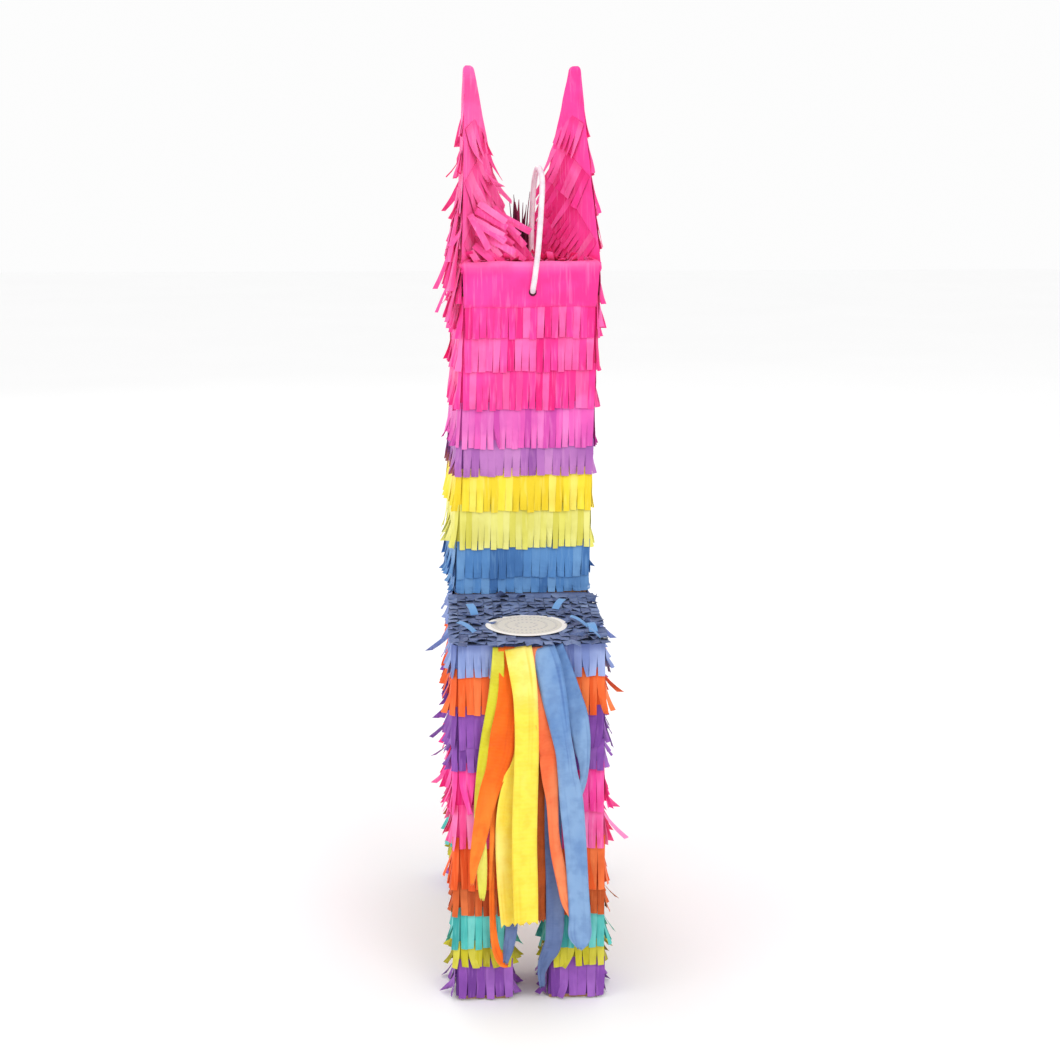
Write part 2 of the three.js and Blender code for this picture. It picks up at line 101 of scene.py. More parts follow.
# %% [markdown]
# ## The camera
# It looks at the rump from a little above and to the left, one metre behind it.

# %% Camera
camera_data = bpy.data.cameras.new("rear view")
camera_data.lens = 63.95
camera_data.sensor_width = 36
camera = bpy.data.objects.new("rear view", camera_data)
camera.location = at(-48.15, -1048.94, 508.77)
camera.rotation_euler = (math.radians(90 - 11.88), 0, math.radians(-2.65))
bpy.context.scene.collection.objects.link(camera)
bpy.context.scene.camera = camera
print("camera at", [round(value, 3) for value in camera.location])

# %% [markdown]
# ## The hanging loop
# One length of soft plastic cord goes in at a hole in the back of the head, is knotted inside, and
# comes out at a hole in its top. A curve with a round bevel is the plain way to make a cord: it
# keeps one thickness along its whole length, and its length can be measured.

# %% Cord route
LOOP_DIAMETER = 3.6
REAR_HOLE = Vector((1, NECK_REAR, HEAD_TOP - 17))
TOP_HOLE = Vector((4, NECK_REAR + 36, HEAD_TOP))
CROWN = HEAD_TOP + 60 - LOOP_DIAMETER / 2
LOOP_ROUTE = [
    (REAR_HOLE.x, REAR_HOLE.y + 10, REAR_HOLE.z + 1),
    (REAR_HOLE.x, REAR_HOLE.y + 4, REAR_HOLE.z - 0.2),
    (REAR_HOLE.x, REAR_HOLE.y - 0.6, REAR_HOLE.z),
    (REAR_HOLE.x, REAR_HOLE.y - 3.4, REAR_HOLE.z + 3),
    (REAR_HOLE.x + 0.9, REAR_HOLE.y - 4, REAR_HOLE.z + 11),
    (REAR_HOLE.x + 2.8, REAR_HOLE.y - 3.4, REAR_HOLE.z + 28),
    (REAR_HOLE.x + 5.2, REAR_HOLE.y + 1, CROWN - 20),
    (REAR_HOLE.x + 6.2, REAR_HOLE.y + 7, CROWN - 6),
    (TOP_HOLE.x + 1.8, NECK_REAR + 16, CROWN),
    (TOP_HOLE.x + 0.8, TOP_HOLE.y - 10, CROWN - 7),
    (TOP_HOLE.x + 0.4, TOP_HOLE.y - 3, CROWN - 22),
    (TOP_HOLE.x + 0.1, TOP_HOLE.y + 0.6, CROWN - 40),
    (TOP_HOLE.x, TOP_HOLE.y, TOP_HOLE.z + 4),
    (TOP_HOLE.x, TOP_HOLE.y, TOP_HOLE.z - 8),
]


def catmull_rom(points, share):
    """A place on the smooth line through the points, share from 0 to 1."""
    count = len(points) - 1
    whole = min(int(share * count), count - 1)
    t = share * count - whole
    before, start, end, after = (points[min(max(whole + i, 0), count)] for i in (-1, 0, 1, 2))
    return 0.5 * (
        2 * start
        + (end - before) * t
        + (2 * before - 5 * start + 4 * end - after) * t**2
        + (3 * start - before - 3 * end + after) * t**3
    )


loop_points = [neck_at(*point) for point in LOOP_ROUTE]
loop_line = [catmull_rom(loop_points, step / 48) for step in range(49)]

# %% Cord curve
loop_curve = bpy.data.curves.new("hanging_loop_cord", "CURVE")
loop_curve.dimensions = "3D"
loop_curve.bevel_depth = LOOP_DIAMETER / 2 * MM
loop_curve.bevel_resolution = 4
loop_curve.use_fill_caps = True
loop_spline = loop_curve.splines.new("POLY")
loop_spline.points.add(len(loop_line) - 1)
for point, place in zip(loop_spline.points, loop_line):
    point.co = (*place, 1)
hanging_loop = bpy.data.objects.new("hanging_loop_cord", loop_curve)
bpy.context.scene.collection.objects.link(hanging_loop)
print(f"cord curve of {len(loop_line)} points, {LOOP_DIAMETER} mm thick")

# %% [markdown]
# ## Floor and light
# A plain pale floor and three soft lights, as in a studio, with an even pale sky.

# %% Studio
FLOOR_SIZE = 12
floor_mesh = bpy.data.meshes.new("studio_floor")
half_floor = FLOOR_SIZE / 2
floor_mesh.from_pydata(
    [(-half_floor, -half_floor, 0), (half_floor, -half_floor, 0),
     (half_floor, half_floor, 0), (-half_floor, half_floor, 0)], [], [(0, 1, 2, 3)])
floor = bpy.data.objects.new("studio_floor", floor_mesh)
bpy.context.scene.collection.objects.link(floor)

world = bpy.data.worlds.new("studio sky")
world.use_nodes = True
sky = world.node_tree.nodes["Background"]
sky.inputs["Color"].default_value = (1, 1, 1, 1)
sky.inputs["Strength"].default_value = 0.98
bpy.context.scene.world = world
bpy.context.scene.view_settings.view_transform = "Standard"  # keeps the dyes as strong as they are


def soft_light(name, place, target, width, watts):
    data = bpy.data.lights.new(name, "AREA")
    data.shape = "DISK"
    data.size = width
    data.energy = watts
    light = bpy.data.objects.new(name, data)
    light.location = place
    light.rotation_euler = (Vector(target) - Vector(place)).to_track_quat("-Z", "Y").to_euler()
    bpy.context.scene.collection.objects.link(light)


soft_light("key light", (0.7, -1.5, 1.6), (0, 0, 0.25), 0.9, 8)
soft_light("fill light", (-1.4, -0.9, 1.0), (0, 0, 0.25), 1.2, 4)
soft_light("front light", (-0.6, 1.9, 1.5), (0, 0, 0.3), 1.2, 6)
print("studio with three soft lights")

# %% [markdown]
# ## A few helpers for node trees
# Shader trees and geometry trees are built the same way: make a node, set its inputs to numbers or
# to other nodes' outputs, go on. `node` does one such step, `calc`, `product` and `vector` do sums,
# and `dress` gives a shader its colour, its roughness and its small relief.

# %% Node helpers
def new_tree(name, kind, inputs, outputs):
    tree = bpy.data.node_groups.new(name, kind)
    for label, socket, value in inputs:
        made = tree.interface.new_socket(label, in_out="INPUT", socket_type=socket)
        if value is not None:
            made.default_value = value
    for label, socket in outputs:
        tree.interface.new_socket(label, in_out="OUTPUT", socket_type=socket)
    return tree, tree.nodes.new("NodeGroupInput"), tree.nodes.new("NodeGroupOutput")


def connect(tree, value, socket):
    if isinstance(value, bpy.types.NodeSocket):
        tree.links.new(value, socket)
    elif value is not None:
        socket.default_value = value


def node(tree, kind, inputs=None, **settings):
    made = tree.nodes.new(kind)
    for name, value in settings.items():
        setattr(made, name, value)
    for key, value in (inputs or {}).items():
        connect(tree, value, made.inputs[key])
    return made


def calc(tree, operation, *values):
    made = node(tree, "ShaderNodeMath", operation=operation)
    for socket, value in zip(made.inputs, values):
        connect(tree, value, socket)
    return made.outputs[0]


def product(tree, first, *others):
    for value in others:
        first = calc(tree, "MULTIPLY", first, value)
    return first


def vector(tree, operation, *values):
    made = node(tree, "ShaderNodeVectorMath", operation=operation)
    sockets = [made.inputs[0], made.inputs[3]] if operation == "SCALE" else made.inputs
    for socket, value in zip(sockets, values):
        connect(tree, value, socket)
    return made.outputs[0]


def new_material(name):
    """A material with its node tree and its shader."""
    material = bpy.data.materials.new(name)
    material.use_nodes = True
    return material, material.node_tree, material.node_tree.nodes["Principled BSDF"]


def dress(tree, shader, colour, roughness, height, strength, distance):
    connect(tree, colour, shader.inputs["Base Color"])
    connect(tree, roughness, shader.inputs["Roughness"])
    raised = node(tree, "ShaderNodeBump", {"Strength": strength, "Distance": distance, "Height": height})
    connect(tree, raised.outputs[0], shader.inputs["Normal"])


FLOAT, WHOLE, COLOUR = "NodeSocketFloat", "NodeSocketInt", "NodeSocketColor"
GEOMETRY, MATERIAL = "NodeSocketGeometry", "NodeSocketMaterial"
PAPER_OUTPUTS = [("Colour", COLOUR), ("Roughness", FLOAT), ("Height", FLOAT)]
print("node helpers ready")

# %% [markdown]
# ## Tissue paper, as a shader group
# Tissue is thin and a little crumpled. Its dye is uneven, it shows pale creases that run down each strand as
# a painted highlight, no two strands catch the light alike, and each strand gets painted shade towards its
# glued root, under the row above. All tissue colours share these effects, so they are one group: it puts out
# a colour, a roughness and a height, and each paper gives its own dyes.

# %% Tissue group
def attribute(tree, name):
    made = node(tree, "ShaderNodeAttribute", attribute_type="GEOMETRY", attribute_name=name)
    return made.outputs["Fac"]


def blotches(tree, coordinates, scale, detail, stretch=(1, 1, 1)):
    mapping = node(tree, "ShaderNodeMapping", {0: coordinates, 3: stretch})
    made = node(tree, "ShaderNodeTexNoise", {"Vector": mapping.outputs[0], "Scale": scale, "Detail": detail})
    return made.outputs[0]


def ranged(tree, value, low, high, to_low, to_high):
    inputs = {0: value, 1: low, 2: high, 3: to_low, 4: to_high}
    return node(tree, "ShaderNodeMapRange", inputs, interpolation_type="SMOOTHSTEP").outputs[0]


def mixed(tree, share, first, second):
    return node(tree, "ShaderNodeMix", {0: share, 6: first, 7: second}, data_type="RGBA").outputs[2]


def give_out(tree, result, colour, roughness, height):
    for label, value in (("Colour", colour), ("Roughness", roughness), ("Height", height)):
        connect(tree, value, result.inputs[label])


def build_tissue_group():
    tree, given, result = new_tree(
        "tissue paper", "ShaderNodeTree",
        [("Dye", COLOUR, (1, 0.3, 0.6, 1)), ("Pale dye and highlight", COLOUR, (1, 0.6, 0.8, 1)),
         ("Deep dye and shade", COLOUR, (0.5, 0, 0.2, 1)), ("Strand contrast", FLOAT, 0.5),
         ("Crumple", FLOAT, 1.0)], PAPER_OUTPUTS)
    pale_dye_and_highlight, deep_dye_and_shade = given.outputs["Pale dye and highlight"], given.outputs["Deep dye and shade"]
    place = node(tree, "ShaderNodeTexCoord").outputs["Object"]
    shade, along = attribute(tree, "shade"), attribute(tree, "along")
    uneven = blotches(tree, place, 45, 3)
    creases = blotches(tree, place, 620, 2, (1, 1, 0.07))
    fibres = blotches(tree, place, 2600, 2)
    folds = blotches(tree, place, 170, 4)
    contrast = calc(tree, "MULTIPLY", given.outputs["Strand contrast"], 1.35)
    pale = product(tree, ranged(tree, shade, 0.45, 1.0, 0, 1), contrast)
    deep = product(tree, ranged(tree, shade, 0.42, 0.0, 0, 1), contrast)
    dyed = ranged(tree, uneven, 0.4, 0.66, 0, 0.4)
    # painted highlight: the raised creases are paler
    crease_highlight = ranged(tree, creases, 0.5, 0.74, 0, 0.36)
    # painted shade: each strand darker towards its glued root, under the row above
    root_shade = ranged(tree, along, 0.02, 0.3, 0.45, 0)
    colour = given.outputs["Dye"]
    for share, dye in ((pale, pale_dye_and_highlight), (deep, deep_dye_and_shade), (dyed, deep_dye_and_shade), (crease_highlight, pale_dye_and_highlight),
                       (root_shade, deep_dye_and_shade)):
        colour = mixed(tree, share, colour, dye)
    height = calc(tree, "MULTIPLY_ADD", creases, 0.35, calc(tree, "MULTIPLY_ADD", fibres, 0.08, folds))
    height = product(tree, height, given.outputs["Crumple"])
    give_out(tree, result, colour, ranged(tree, fibres, 0.3, 0.7, 0.62, 0.85), height)
    return tree


TISSUE_GROUP = build_tissue_group()
print("tissue group:", len(TISSUE_GROUP.nodes), "nodes")

# %% [markdown]
# ## The papers
# Each dye has a pale and a deep version: for uneven dye, for painted highlights on creases, and for painted
# shade in folds, at strand roots and in the gaps between strands.
# Colours are given as a printer would, from 0 to 255, and turned into the linear values that the
# shader works in.

# %% Materials made of tissue
def linear(red, green, blue):
    values = []
    for value in (red, green, blue):
        value /= 255
        values.append(value / 12.92 if value <= 0.04045 else ((value + 0.055) / 1.055) ** 2.4)
    return (*values, 1)


PAPER_GLOSS = 0.25
PAPER_BUMP, PAPER_BUMP_DEPTH = 0.35, 0.0006  # strength, metres


def paper_material(name, group, values, sheen=0.12):
    material, tree, shader = new_material(name)
    grouped = node(tree, "ShaderNodeGroup", values, node_tree=group)
    dress(tree, shader, *grouped.outputs, PAPER_BUMP, PAPER_BUMP_DEPTH)
    shader.inputs["Specular IOR Level"].default_value = PAPER_GLOSS
    shader.inputs["Sheen Weight"].default_value = sheen
    return material


def dyed_papers(kind, group, dyes):
    papers = {}
    for dye, (plain, pale, deep) in dyes.items():
        papers[dye] = paper_material(f"{dye} {kind}", group, {
            "Dye": linear(*plain), "Pale dye and highlight": linear(*pale), "Deep dye and shade": linear(*deep)})
    return papers


TISSUES = dyed_papers("tissue", TISSUE_GROUP, {
    "pink": ((255, 66, 163), (255, 130, 196), (226, 0, 108)),
    # a paler copy of pink: painted light on the left ear, the strands heaped beside it and its curtain
    "lit_pink": ((255, 92, 172), (255, 150, 204), (232, 28, 124)),
    "light_pink": ((255, 105, 175), (255, 160, 210), (235, 40, 125)),
    "violet": ((240, 94, 186), (248, 140, 210), (186, 58, 160)),
    "purple": ((142, 78, 175), (172, 112, 200), (95, 45, 130)),
    "plum": ((182, 108, 186), (214, 145, 205), (128, 62, 146)),
    "orange": ((250, 100, 38), (255, 140, 80), (205, 65, 10)),
    "dark_orange": ((208, 92, 38), (232, 125, 70), (150, 55, 15)),
    "lavender": ((135, 155, 210), (170, 185, 228), (90, 105, 170)),
    "blue": ((88, 142, 202), (125, 172, 218), (50, 95, 155)),
    "slate": ((88, 110, 160), (125, 145, 185), (48, 62, 105)),
    "yellow": ((255, 232, 62), (255, 243, 130), (236, 198, 20)),
    "yellow_green": ((238, 232, 108), (246, 242, 155), (208, 198, 66)),
    "olive": ((200, 190, 35), (222, 214, 85), (140, 130, 10)),
    "teal": ((85, 198, 190), (140, 220, 212), (35, 140, 140)),
    # a dark copy of pink: painted shade, for the forelock between the ears and the shadow in the cord's hole
    "shadow_pink": ((110, 15, 60), (160, 35, 90), (60, 5, 32)),
})
print(len(TISSUES), "tissue papers")

# %% [markdown]
# ## Slit fringe, as a geometry tree
# A row of fringe is one strip of paper, slit most of the way up at even steps. The tree follows a
# guide line, the row's glued edge, and puts one strand at each step. Above the slits the strands
# stay edge to edge, so they read as one strip; below, each one lifts, sways, twists and creases by
# its own seeded amount. The guide line carries where each strand hangs, which way is out, and how
# loose the paper is there.

# %% Fringe tree
def build_fringe_tree():
    tree, given, result = new_tree(
        "slit fringe", "GeometryNodeTree",
        [("Guide", GEOMETRY, None), ("Strand width", FLOAT, 4.5 * MM), ("Paper thickness", FLOAT, 0.16 * MM),
         ("Slit start", FLOAT, 0.36), ("Lift", FLOAT, 6 * MM), ("Sway", FLOAT, 2.6 * MM),
         ("Twist", FLOAT, 0.9), ("Parting", FLOAT, 0.16), ("Uneven ends", FLOAT, 0.03),
         ("Stray share", FLOAT, 0.1), ("Seed", WHOLE, 1), ("Paper", MATERIAL, None)],
        [("Fringe", GEOMETRY)])
    sizes = given.outputs

    def named(name, kind="FLOAT"):
        return node(tree, "GeometryNodeInputNamedAttribute", {"Name": name}, data_type=kind).outputs[0]

    def chance(order, low):
        seed = calc(tree, "ADD", sizes["Seed"], order)
        return node(tree, "FunctionNodeRandomValue", {2: low, 3: 1.0, 8: seed}, data_type="FLOAT").outputs[1]

    def store(geometry, name, value, domain="POINT"):
        inputs = {"Geometry": geometry, "Name": name, "Value": value}
        kept = node(tree, "GeometryNodeStoreNamedAttribute", inputs, data_type="FLOAT", domain=domain)
        return kept.outputs[0]

    def add(first, second):
        return calc(tree, "ADD", first, second)

    def times(*values):
        return product(tree, *values)

    def times_plus(first, second, third):
        return calc(tree, "MULTIPLY_ADD", first, second, third)

    # one step along the guide line for each strand
    line = node(tree, "GeometryNodeMeshToCurve", {"Mesh": sizes["Guide"]}).outputs[0]
    stepped = node(tree, "GeometryNodeResampleCurve", {"Curve": line}, mode="LENGTH")
    connect(tree, sizes["Strand width"], stepped.inputs["Length"])
    spline = node(tree, "GeometryNodeSplineLength")
    closed = node(tree, "GeometryNodeInputSplineCyclic").outputs[0]
    gaps = add(calc(tree, "SUBTRACT", spline.outputs["Point Count"], 1), closed)
    steps = store(stepped.outputs[0], "width", calc(tree, "DIVIDE", spline.outputs["Length"], gaps))

    # the strand: a thin bar, three points wide and eight high, hanging down from its glued edge
    bar = node(tree, "GeometryNodeMeshCube",
               {"Size": (1, 1, 1), "Vertices X": 3, "Vertices Y": 2, "Vertices Z": 8})
    hung = node(tree, "GeometryNodeTransform", {"Geometry": bar.outputs[0], "Translation": (0, 0, -0.5)})
    where = node(tree, "ShaderNodeSeparateXYZ", {0: node(tree, "GeometryNodeInputPosition").outputs[0]})
    strand = store(hung.outputs[0], "along", times(where.outputs[2], -1))
    strand = store(strand, "across", where.outputs[0])

    # hang one strand at every step
    hang, out = named("hang", "FLOAT_VECTOR"), named("out", "FLOAT_VECTOR")
    up = vector(tree, "SCALE", hang, -1)
    turn = node(tree, "FunctionNodeAxesToRotation", {0: up, 1: out}, primary_axis="Z", secondary_axis="Y")
    hang_length = node(tree, "ShaderNodeVectorMath", {0: hang}, operation="LENGTH").outputs["Value"]
    uneven = node(tree, "FunctionNodeRandomValue", data_type="FLOAT")
    connect(tree, times(sizes["Uneven ends"], -1), uneven.inputs[2])
    connect(tree, sizes["Uneven ends"], uneven.inputs[3])
    connect(tree, add(sizes["Seed"], 1), uneven.inputs[8])
    length = times(hang_length, add(uneven.outputs[1], 1))
    size = node(tree, "ShaderNodeCombineXYZ", {0: named("width"), 1: sizes["Paper thickness"], 2: length})
    placed = node(tree, "GeometryNodeInstanceOnPoints", {
        "Points": steps, "Instance": strand, "Rotation": turn.outputs[0], "Scale": size.outputs[0]})

    # each strand's own luck, kept on it before the strands become one mesh
    lucky = placed.outputs[0]
    for order, name, low in ((2, "shade", 0), (3, "lifted", 0), (4, "swayed", -1), (5, "twisted", -1)):
        lucky = store(lucky, name, chance(order, low), "INSTANCE")
    is_stray = calc(tree, "LESS_THAN", chance(6, 0), sizes["Stray share"])
    lucky = store(lucky, "stray", is_stray, "INSTANCE")
    whole = node(tree, "GeometryNodeRealizeInstances", {0: lucky}).outputs[0]

    # below the slits the strand comes free
    along, across, loose, stray = named("along"), named("across"), named("loose"), named("stray")
    lifted, swayed, twisted = named("lifted"), named("swayed"), named("twisted")
    slit = {0: along, 1: sizes["Slit start"], 2: 1.0, 3: 0.0, 4: 1.0}
    free = node(tree, "ShaderNodeMapRange", slit).outputs[0]
    bend = calc(tree, "POWER", free, 1.6)
    side = vector(tree, "NORMALIZE", vector(tree, "CROSS_PRODUCT", out, up))

    # it lifts off the row, with a wave along it
    wildness = times_plus(stray, 1.4, 1)
    lift = times(calc(tree, "POWER", lifted, 2), sizes["Lift"], bend, times(loose, wildness))
    wave = calc(tree, "SINE", times_plus(along, 8, times(twisted, 9)))
    wave = times(wave, free, 0.35 * MM)

    # it sways to the side, turns about its own length, gets a little narrower and cups
    sway = times(swayed, sizes["Sway"], bend, times_plus(stray, 1.6, add(loose, 0.1)))
    angle = times(twisted, sizes["Twist"], free, add(stray, add(loose, 0.15)))
    reach = times(across, named("width"))
    parted = times(calc(tree, "POWER", lifted, 1.5), calc(tree, "POWER", free, 0.6))
    shrink = times_plus(sizes["Parting"], parted, times(free, 0.02))
    inward = add(calc(tree, "SUBTRACT", 1, calc(tree, "COSINE", angle)), shrink)
    sideways = calc(tree, "SUBTRACT", sway, times(reach, inward))
    cupped = times(calc(tree, "ABSOLUTE", across), times(free, -0.5 * MM))
    outward = add(add(lift, wave), times_plus(reach, calc(tree, "SINE", angle), cupped))
    moved = vector(tree, "ADD", vector(tree, "SCALE", out, outward), vector(tree, "SCALE", side, sideways))
    shaped = node(tree, "GeometryNodeSetPosition", {"Geometry": whole, "Offset": moved}).outputs[0]
    painted = node(tree, "GeometryNodeSetMaterial", {"Geometry": shaped, "Material": sizes["Paper"]})
    connect(tree, painted.outputs[0], result.inputs["Fringe"])
    return tree


FRINGE_TREE = build_fringe_tree()
SOCKETS = {item.name: item.identifier for item in FRINGE_TREE.interface.items_tree if item.in_out == "INPUT"}
print("fringe tree:", len(FRINGE_TREE.nodes), "nodes")

# %% [markdown]
# ## Guide lines for the fringe
# A guide is a list of stops (root, out, hang, loose) in metres, and whether the line closes. `ring`
# walks round a box with rounded corners, `hanging_row` turns the walk into the stops of a row that
# wraps it. Under each row goes a `lining`: the plain paper that shows between strands, painted in the
# deep dye as painted shade in the gaps.

# %% Guides
STAND = -0.75  # a row's glued edge lies this far inside the outer face of the card model's fringe
SPLAY = 1.5  # and its ends lie this much further out, over the next row


def ring(x0, y0, x1, y1, radius=3.0, steps=4):
    """Points (x, y, outward x, outward y) round a box, seen from above."""
    corners = (
        (x1 - radius, y0 + radius, -90), (x1 - radius, y1 - radius, 0),
        (x0 + radius, y1 - radius, 90), (x0 + radius, y0 + radius, 180),
    )
    walk = []
    for cx, cy, start in corners:
        for step in range(steps + 1):
            angle = math.radians(start + 90 * step / steps)
            nx, ny = math.cos(angle), math.sin(angle)
            walk.append((cx + radius * nx, cy + radius * ny, nx, ny))
    return walk


def side_looseness(nx, ny):
    """Paper is pressed flat on the rump and the neck's rear, and handled loose at the sides."""
    return 0.16 + 0.84 * abs(nx) ** 3 if ny < 0.2 else 0.55


def hanging_row(place, walk, top, bottom, closed=True, splay=SPLAY):
    stops = []
    for x, y, nx, ny in walk:
        root = place(x + nx * STAND, y + ny * STAND, top)
        outer = place(x + nx * (STAND + 1), y + ny * (STAND + 1), top)
        tip = place(x + nx * (STAND + splay), y + ny * (STAND + splay), bottom)
        stops.append((root, (outer - root).normalized(), tip - root, side_looseness(nx, ny)))
    return stops, closed


def guide_object(rows):
    vertices, edges, outs, hangs, looses = [], [], [], [], []
    for stops, closed in rows:
        first = len(vertices)
        for root, out, hang, loose in stops:
            vertices.append(root)
            outs.extend(out)
            hangs.extend(hang)
            looses.append(loose)
        edges += [(first + i, first + i + 1) for i in range(len(stops) - 1)]
        if closed:
            edges.append((len(vertices) - 1, first))
    mesh = bpy.data.meshes.new("guide")
    mesh.from_pydata(vertices, edges, [])
    for name, kind, key, values in (
        ("out", "FLOAT_VECTOR", "vector", outs),
        ("hang", "FLOAT_VECTOR", "vector", hangs),
        ("loose", "FLOAT", "value", looses),
    ):
        mesh.attributes.new(name, kind, "POINT").data.foreach_set(key, values)
    guide = bpy.data.objects.new("guide", mesh)
    bpy.context.scene.collection.objects.link(guide)
    return guide


print("guides ready")

# %% Linings
LINING_SHARE = 0.97  # of the strands' length
LINING_INSIDE = 0.25  # mm under the strands
LINING_THICKNESS = 0.25
LINING_SPLAY = SPLAY * 0.8
LINING_CORNERS = (  # share of the way down, depth
    (0, LINING_INSIDE), (LINING_SHARE, LINING_INSIDE),
    (LINING_SHARE, LINING_INSIDE + LINING_THICKNESS), (0, LINING_INSIDE + LINING_THICKNESS),
)


def add_lining(bm, rows):
    """A closed thin band under each row, joined to its piece."""
    # the lining's points keep shade and along at 0, so the material paints it in the deep dye: painted shade
    # between the strands
    for name in ("along", "shade"):
        if not bm.verts.layers.float.get(name):
            bm.verts.layers.float.new(name)
    for stops, closed in rows:
        sections = []
        for root, out, hang, _ in stops:
            sections.append([bm.verts.new(root + hang * share - out * (depth + LINING_SPLAY * share) * MM)
                             for share, depth in LINING_CORNERS])
        pairs = list(zip(sections, sections[1:]))
        if closed:
            pairs.append((sections[-1], sections[0]))
        else:
            bm.faces.new(sections[0])
            bm.faces.new(reversed(sections[-1]))
        for here, there in pairs:
            for i in range(4):
                j = (i + 1) % 4
                bm.faces.new((here[j], here[i], there[i], there[j]))


print("linings ready")

# %% [markdown]
# ## From guide to piece
# The tree's inputs are set by socket identifier, the evaluated result becomes a plain mesh, and the
# guide with its modifier is thrown away before the piece meets the frame.

# %% Finishing a piece
made_pieces = []


def finish_piece(piece, body, nodes=()):
    """Hang a finished piece on its body, and hide the card model's parts that it stands for."""
    if not piece.users_collection:
        bpy.context.scene.collection.objects.link(piece)
    if body:
        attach(piece, body)
    if nodes:
        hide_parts(*nodes)
    made_pieces.append(piece)
    return piece


def skin(bm, rows, closed=False):
    """Faces between rows of points. A row of one point is a pole."""
    for low, high in zip(rows, rows[1:]):
        count = max(len(low), len(high))
        for i in range(count if closed else count - 1):
            j = (i + 1) % count
            if len(low) == 1:
                bm.faces.new((low[0], high[i], high[j]))
            elif len(high) == 1:
                bm.faces.new((low[i], low[j], high[0]))
            else:
                bm.faces.new((low[i], low[j], high[j], high[i]))


def paint(bm, **values):
    """Give every point the values that the paper's material reads."""
    for name, value in values.items():
        layer = bm.verts.layers.float.get(name) or bm.verts.layers.float.new(name)
        for vertex in bm.verts:
            vertex[layer] = value


def piece_of(bm, name, material, body, nodes=(), thickness=0, smooth=False):
    """Make a piece of finished faces. Paper without two sides gets its thickness, in mm."""
    mesh = bpy.data.meshes.new(name)
    bm.to_mesh(mesh)
    bm.free()
    mesh.materials.append(material)
    for polygon in mesh.polygons:
        polygon.use_smooth = smooth and len(polygon.vertices) < 5
    piece = bpy.data.objects.new(name, mesh)
    if thickness:
        piece.modifiers.new("paper thickness", "SOLIDIFY").thickness = thickness * MM
    return finish_piece(piece, body, nodes)


def baked_mesh(piece):
    """A plain mesh of the piece as its modifiers shape it."""
    bpy.context.view_layer.update()
    graph = bpy.context.evaluated_depsgraph_get()
    evaluated = piece.evaluated_get(graph)
    return bpy.data.meshes.new_from_object(evaluated, preserve_all_data_layers=True, depsgraph=graph)


print("helpers for pieces ready")

# %% Fringe pieces
def fringe(name, rows, dye, nodes=(), lining=True, **sizes):
    """Slit fringe along the guide rows. sizes are the tree's inputs that differ from the usual."""
    seed = sum(ord(letter) * (i + 3) for i, letter in enumerate(name)) % 9973
    guide = guide_object(rows)
    modifier = guide.modifiers.new("slit fringe", "NODES")
    modifier.node_group = FRINGE_TREE
    for label, value in {"Seed": seed, "Paper": TISSUES[dye], **sizes}.items():
        modifier[SOCKETS[label]] = value
    mesh = baked_mesh(guide)
    bpy.data.objects.remove(guide)
    bm = bmesh.new()
    bm.from_mesh(mesh)
    if lining:
        add_lining(bm, rows)
    bm.to_mesh(mesh)
    bm.free()
    mesh.name = name
    mesh.materials.clear()
    mesh.materials.append(TISSUES[dye])
    for polygon in mesh.polygons:
        polygon.material_index = 0
    print(f"{name}: {len(mesh.polygons)} faces")
    return finish_piece(bpy.data.objects.new(name, mesh), "shell", nodes)


# %% [markdown]
# ## Body and legs
# Six rows wrap the body and five wrap each leg. A row starts a little under the one above it. The
# lowest body row hangs past the belly over the tops of the legs.

# %% Rows of the body
TUCK = 5  # mm of each row hidden under the row above
PROUD = 1.2  # mm, the built-up paper stands this far off the card at the sides
BODY_WALK = ring(-BODY_HALF - PROUD, 0, BODY_HALF + PROUD, BODY_LENGTH)
BODY_ROWS = (
    ("lavender", "lavender", BACK - 0.8, 201, ("body_fringe_lavender",)),
    ("orange", "orange", 201 + TUCK, 178.3, ("body_fringe_orange",)),
    ("upper_purple", "purple", 178.3 + TUCK, 157.7, ("body_fringe_purple",)),
    ("lower_purple", "purple", 157.7 + TUCK, 144, ()),
    ("pink", "pink", 144 + TUCK, 118, ("body_fringe_pink",)),
    ("light_pink", "light_pink", 118 + TUCK, 96, ()),
)
for label, dye, top, bottom, nodes in BODY_ROWS:
    fringe(f"body_row_{label}", [hanging_row(at, BODY_WALK, top, bottom)], dye, nodes=nodes)

# %% Rows of the legs
LEG_WIDTH, LEG_DEPTH = 33, 38
LEG_ROWS = (
    ("orange", "orange", 103, 70),
    ("dark_orange", "dark_orange", 70 + TUCK, 54),
    ("teal", "teal", 54 + TUCK, 32.6),
    ("olive", "olive", 32.6 + TUCK, 21),
    ("hoof", "purple", 21 + TUCK, 1.6),
)
for end, y in (("rear", LEG_DEPTH / 2), ("front", BODY_LENGTH - LEG_DEPTH / 2)):
    for side, sign in (("left", -1), ("right", 1)):
        x = sign * (BODY_HALF - LEG_WIDTH / 2)
        left, right = (0, PROUD) if sign > 0 else (PROUD, 0)
        walk = ring(x - LEG_WIDTH / 2 - left, y - LEG_DEPTH / 2,
                    x + LEG_WIDTH / 2 + right, y + LEG_DEPTH / 2, 2.0)
        for label, dye, top, bottom in LEG_ROWS:
            nodes = (f"leg_fringe_{end}_{side}",) if label == "orange" else ()
            hoof = {"Slit start": 0.62, "Strand width": 5.5 * MM} if label == "hoof" else {}
            rows = [hanging_row(at, walk, top, bottom)]
            fringe(f"leg_{end}_{side}_{label}", rows, dye, nodes=nodes, **hoof)

# %% [markdown]
# ## Neck
# The neck's rows follow its lean and its turn: the guide goes through `neck_at`.

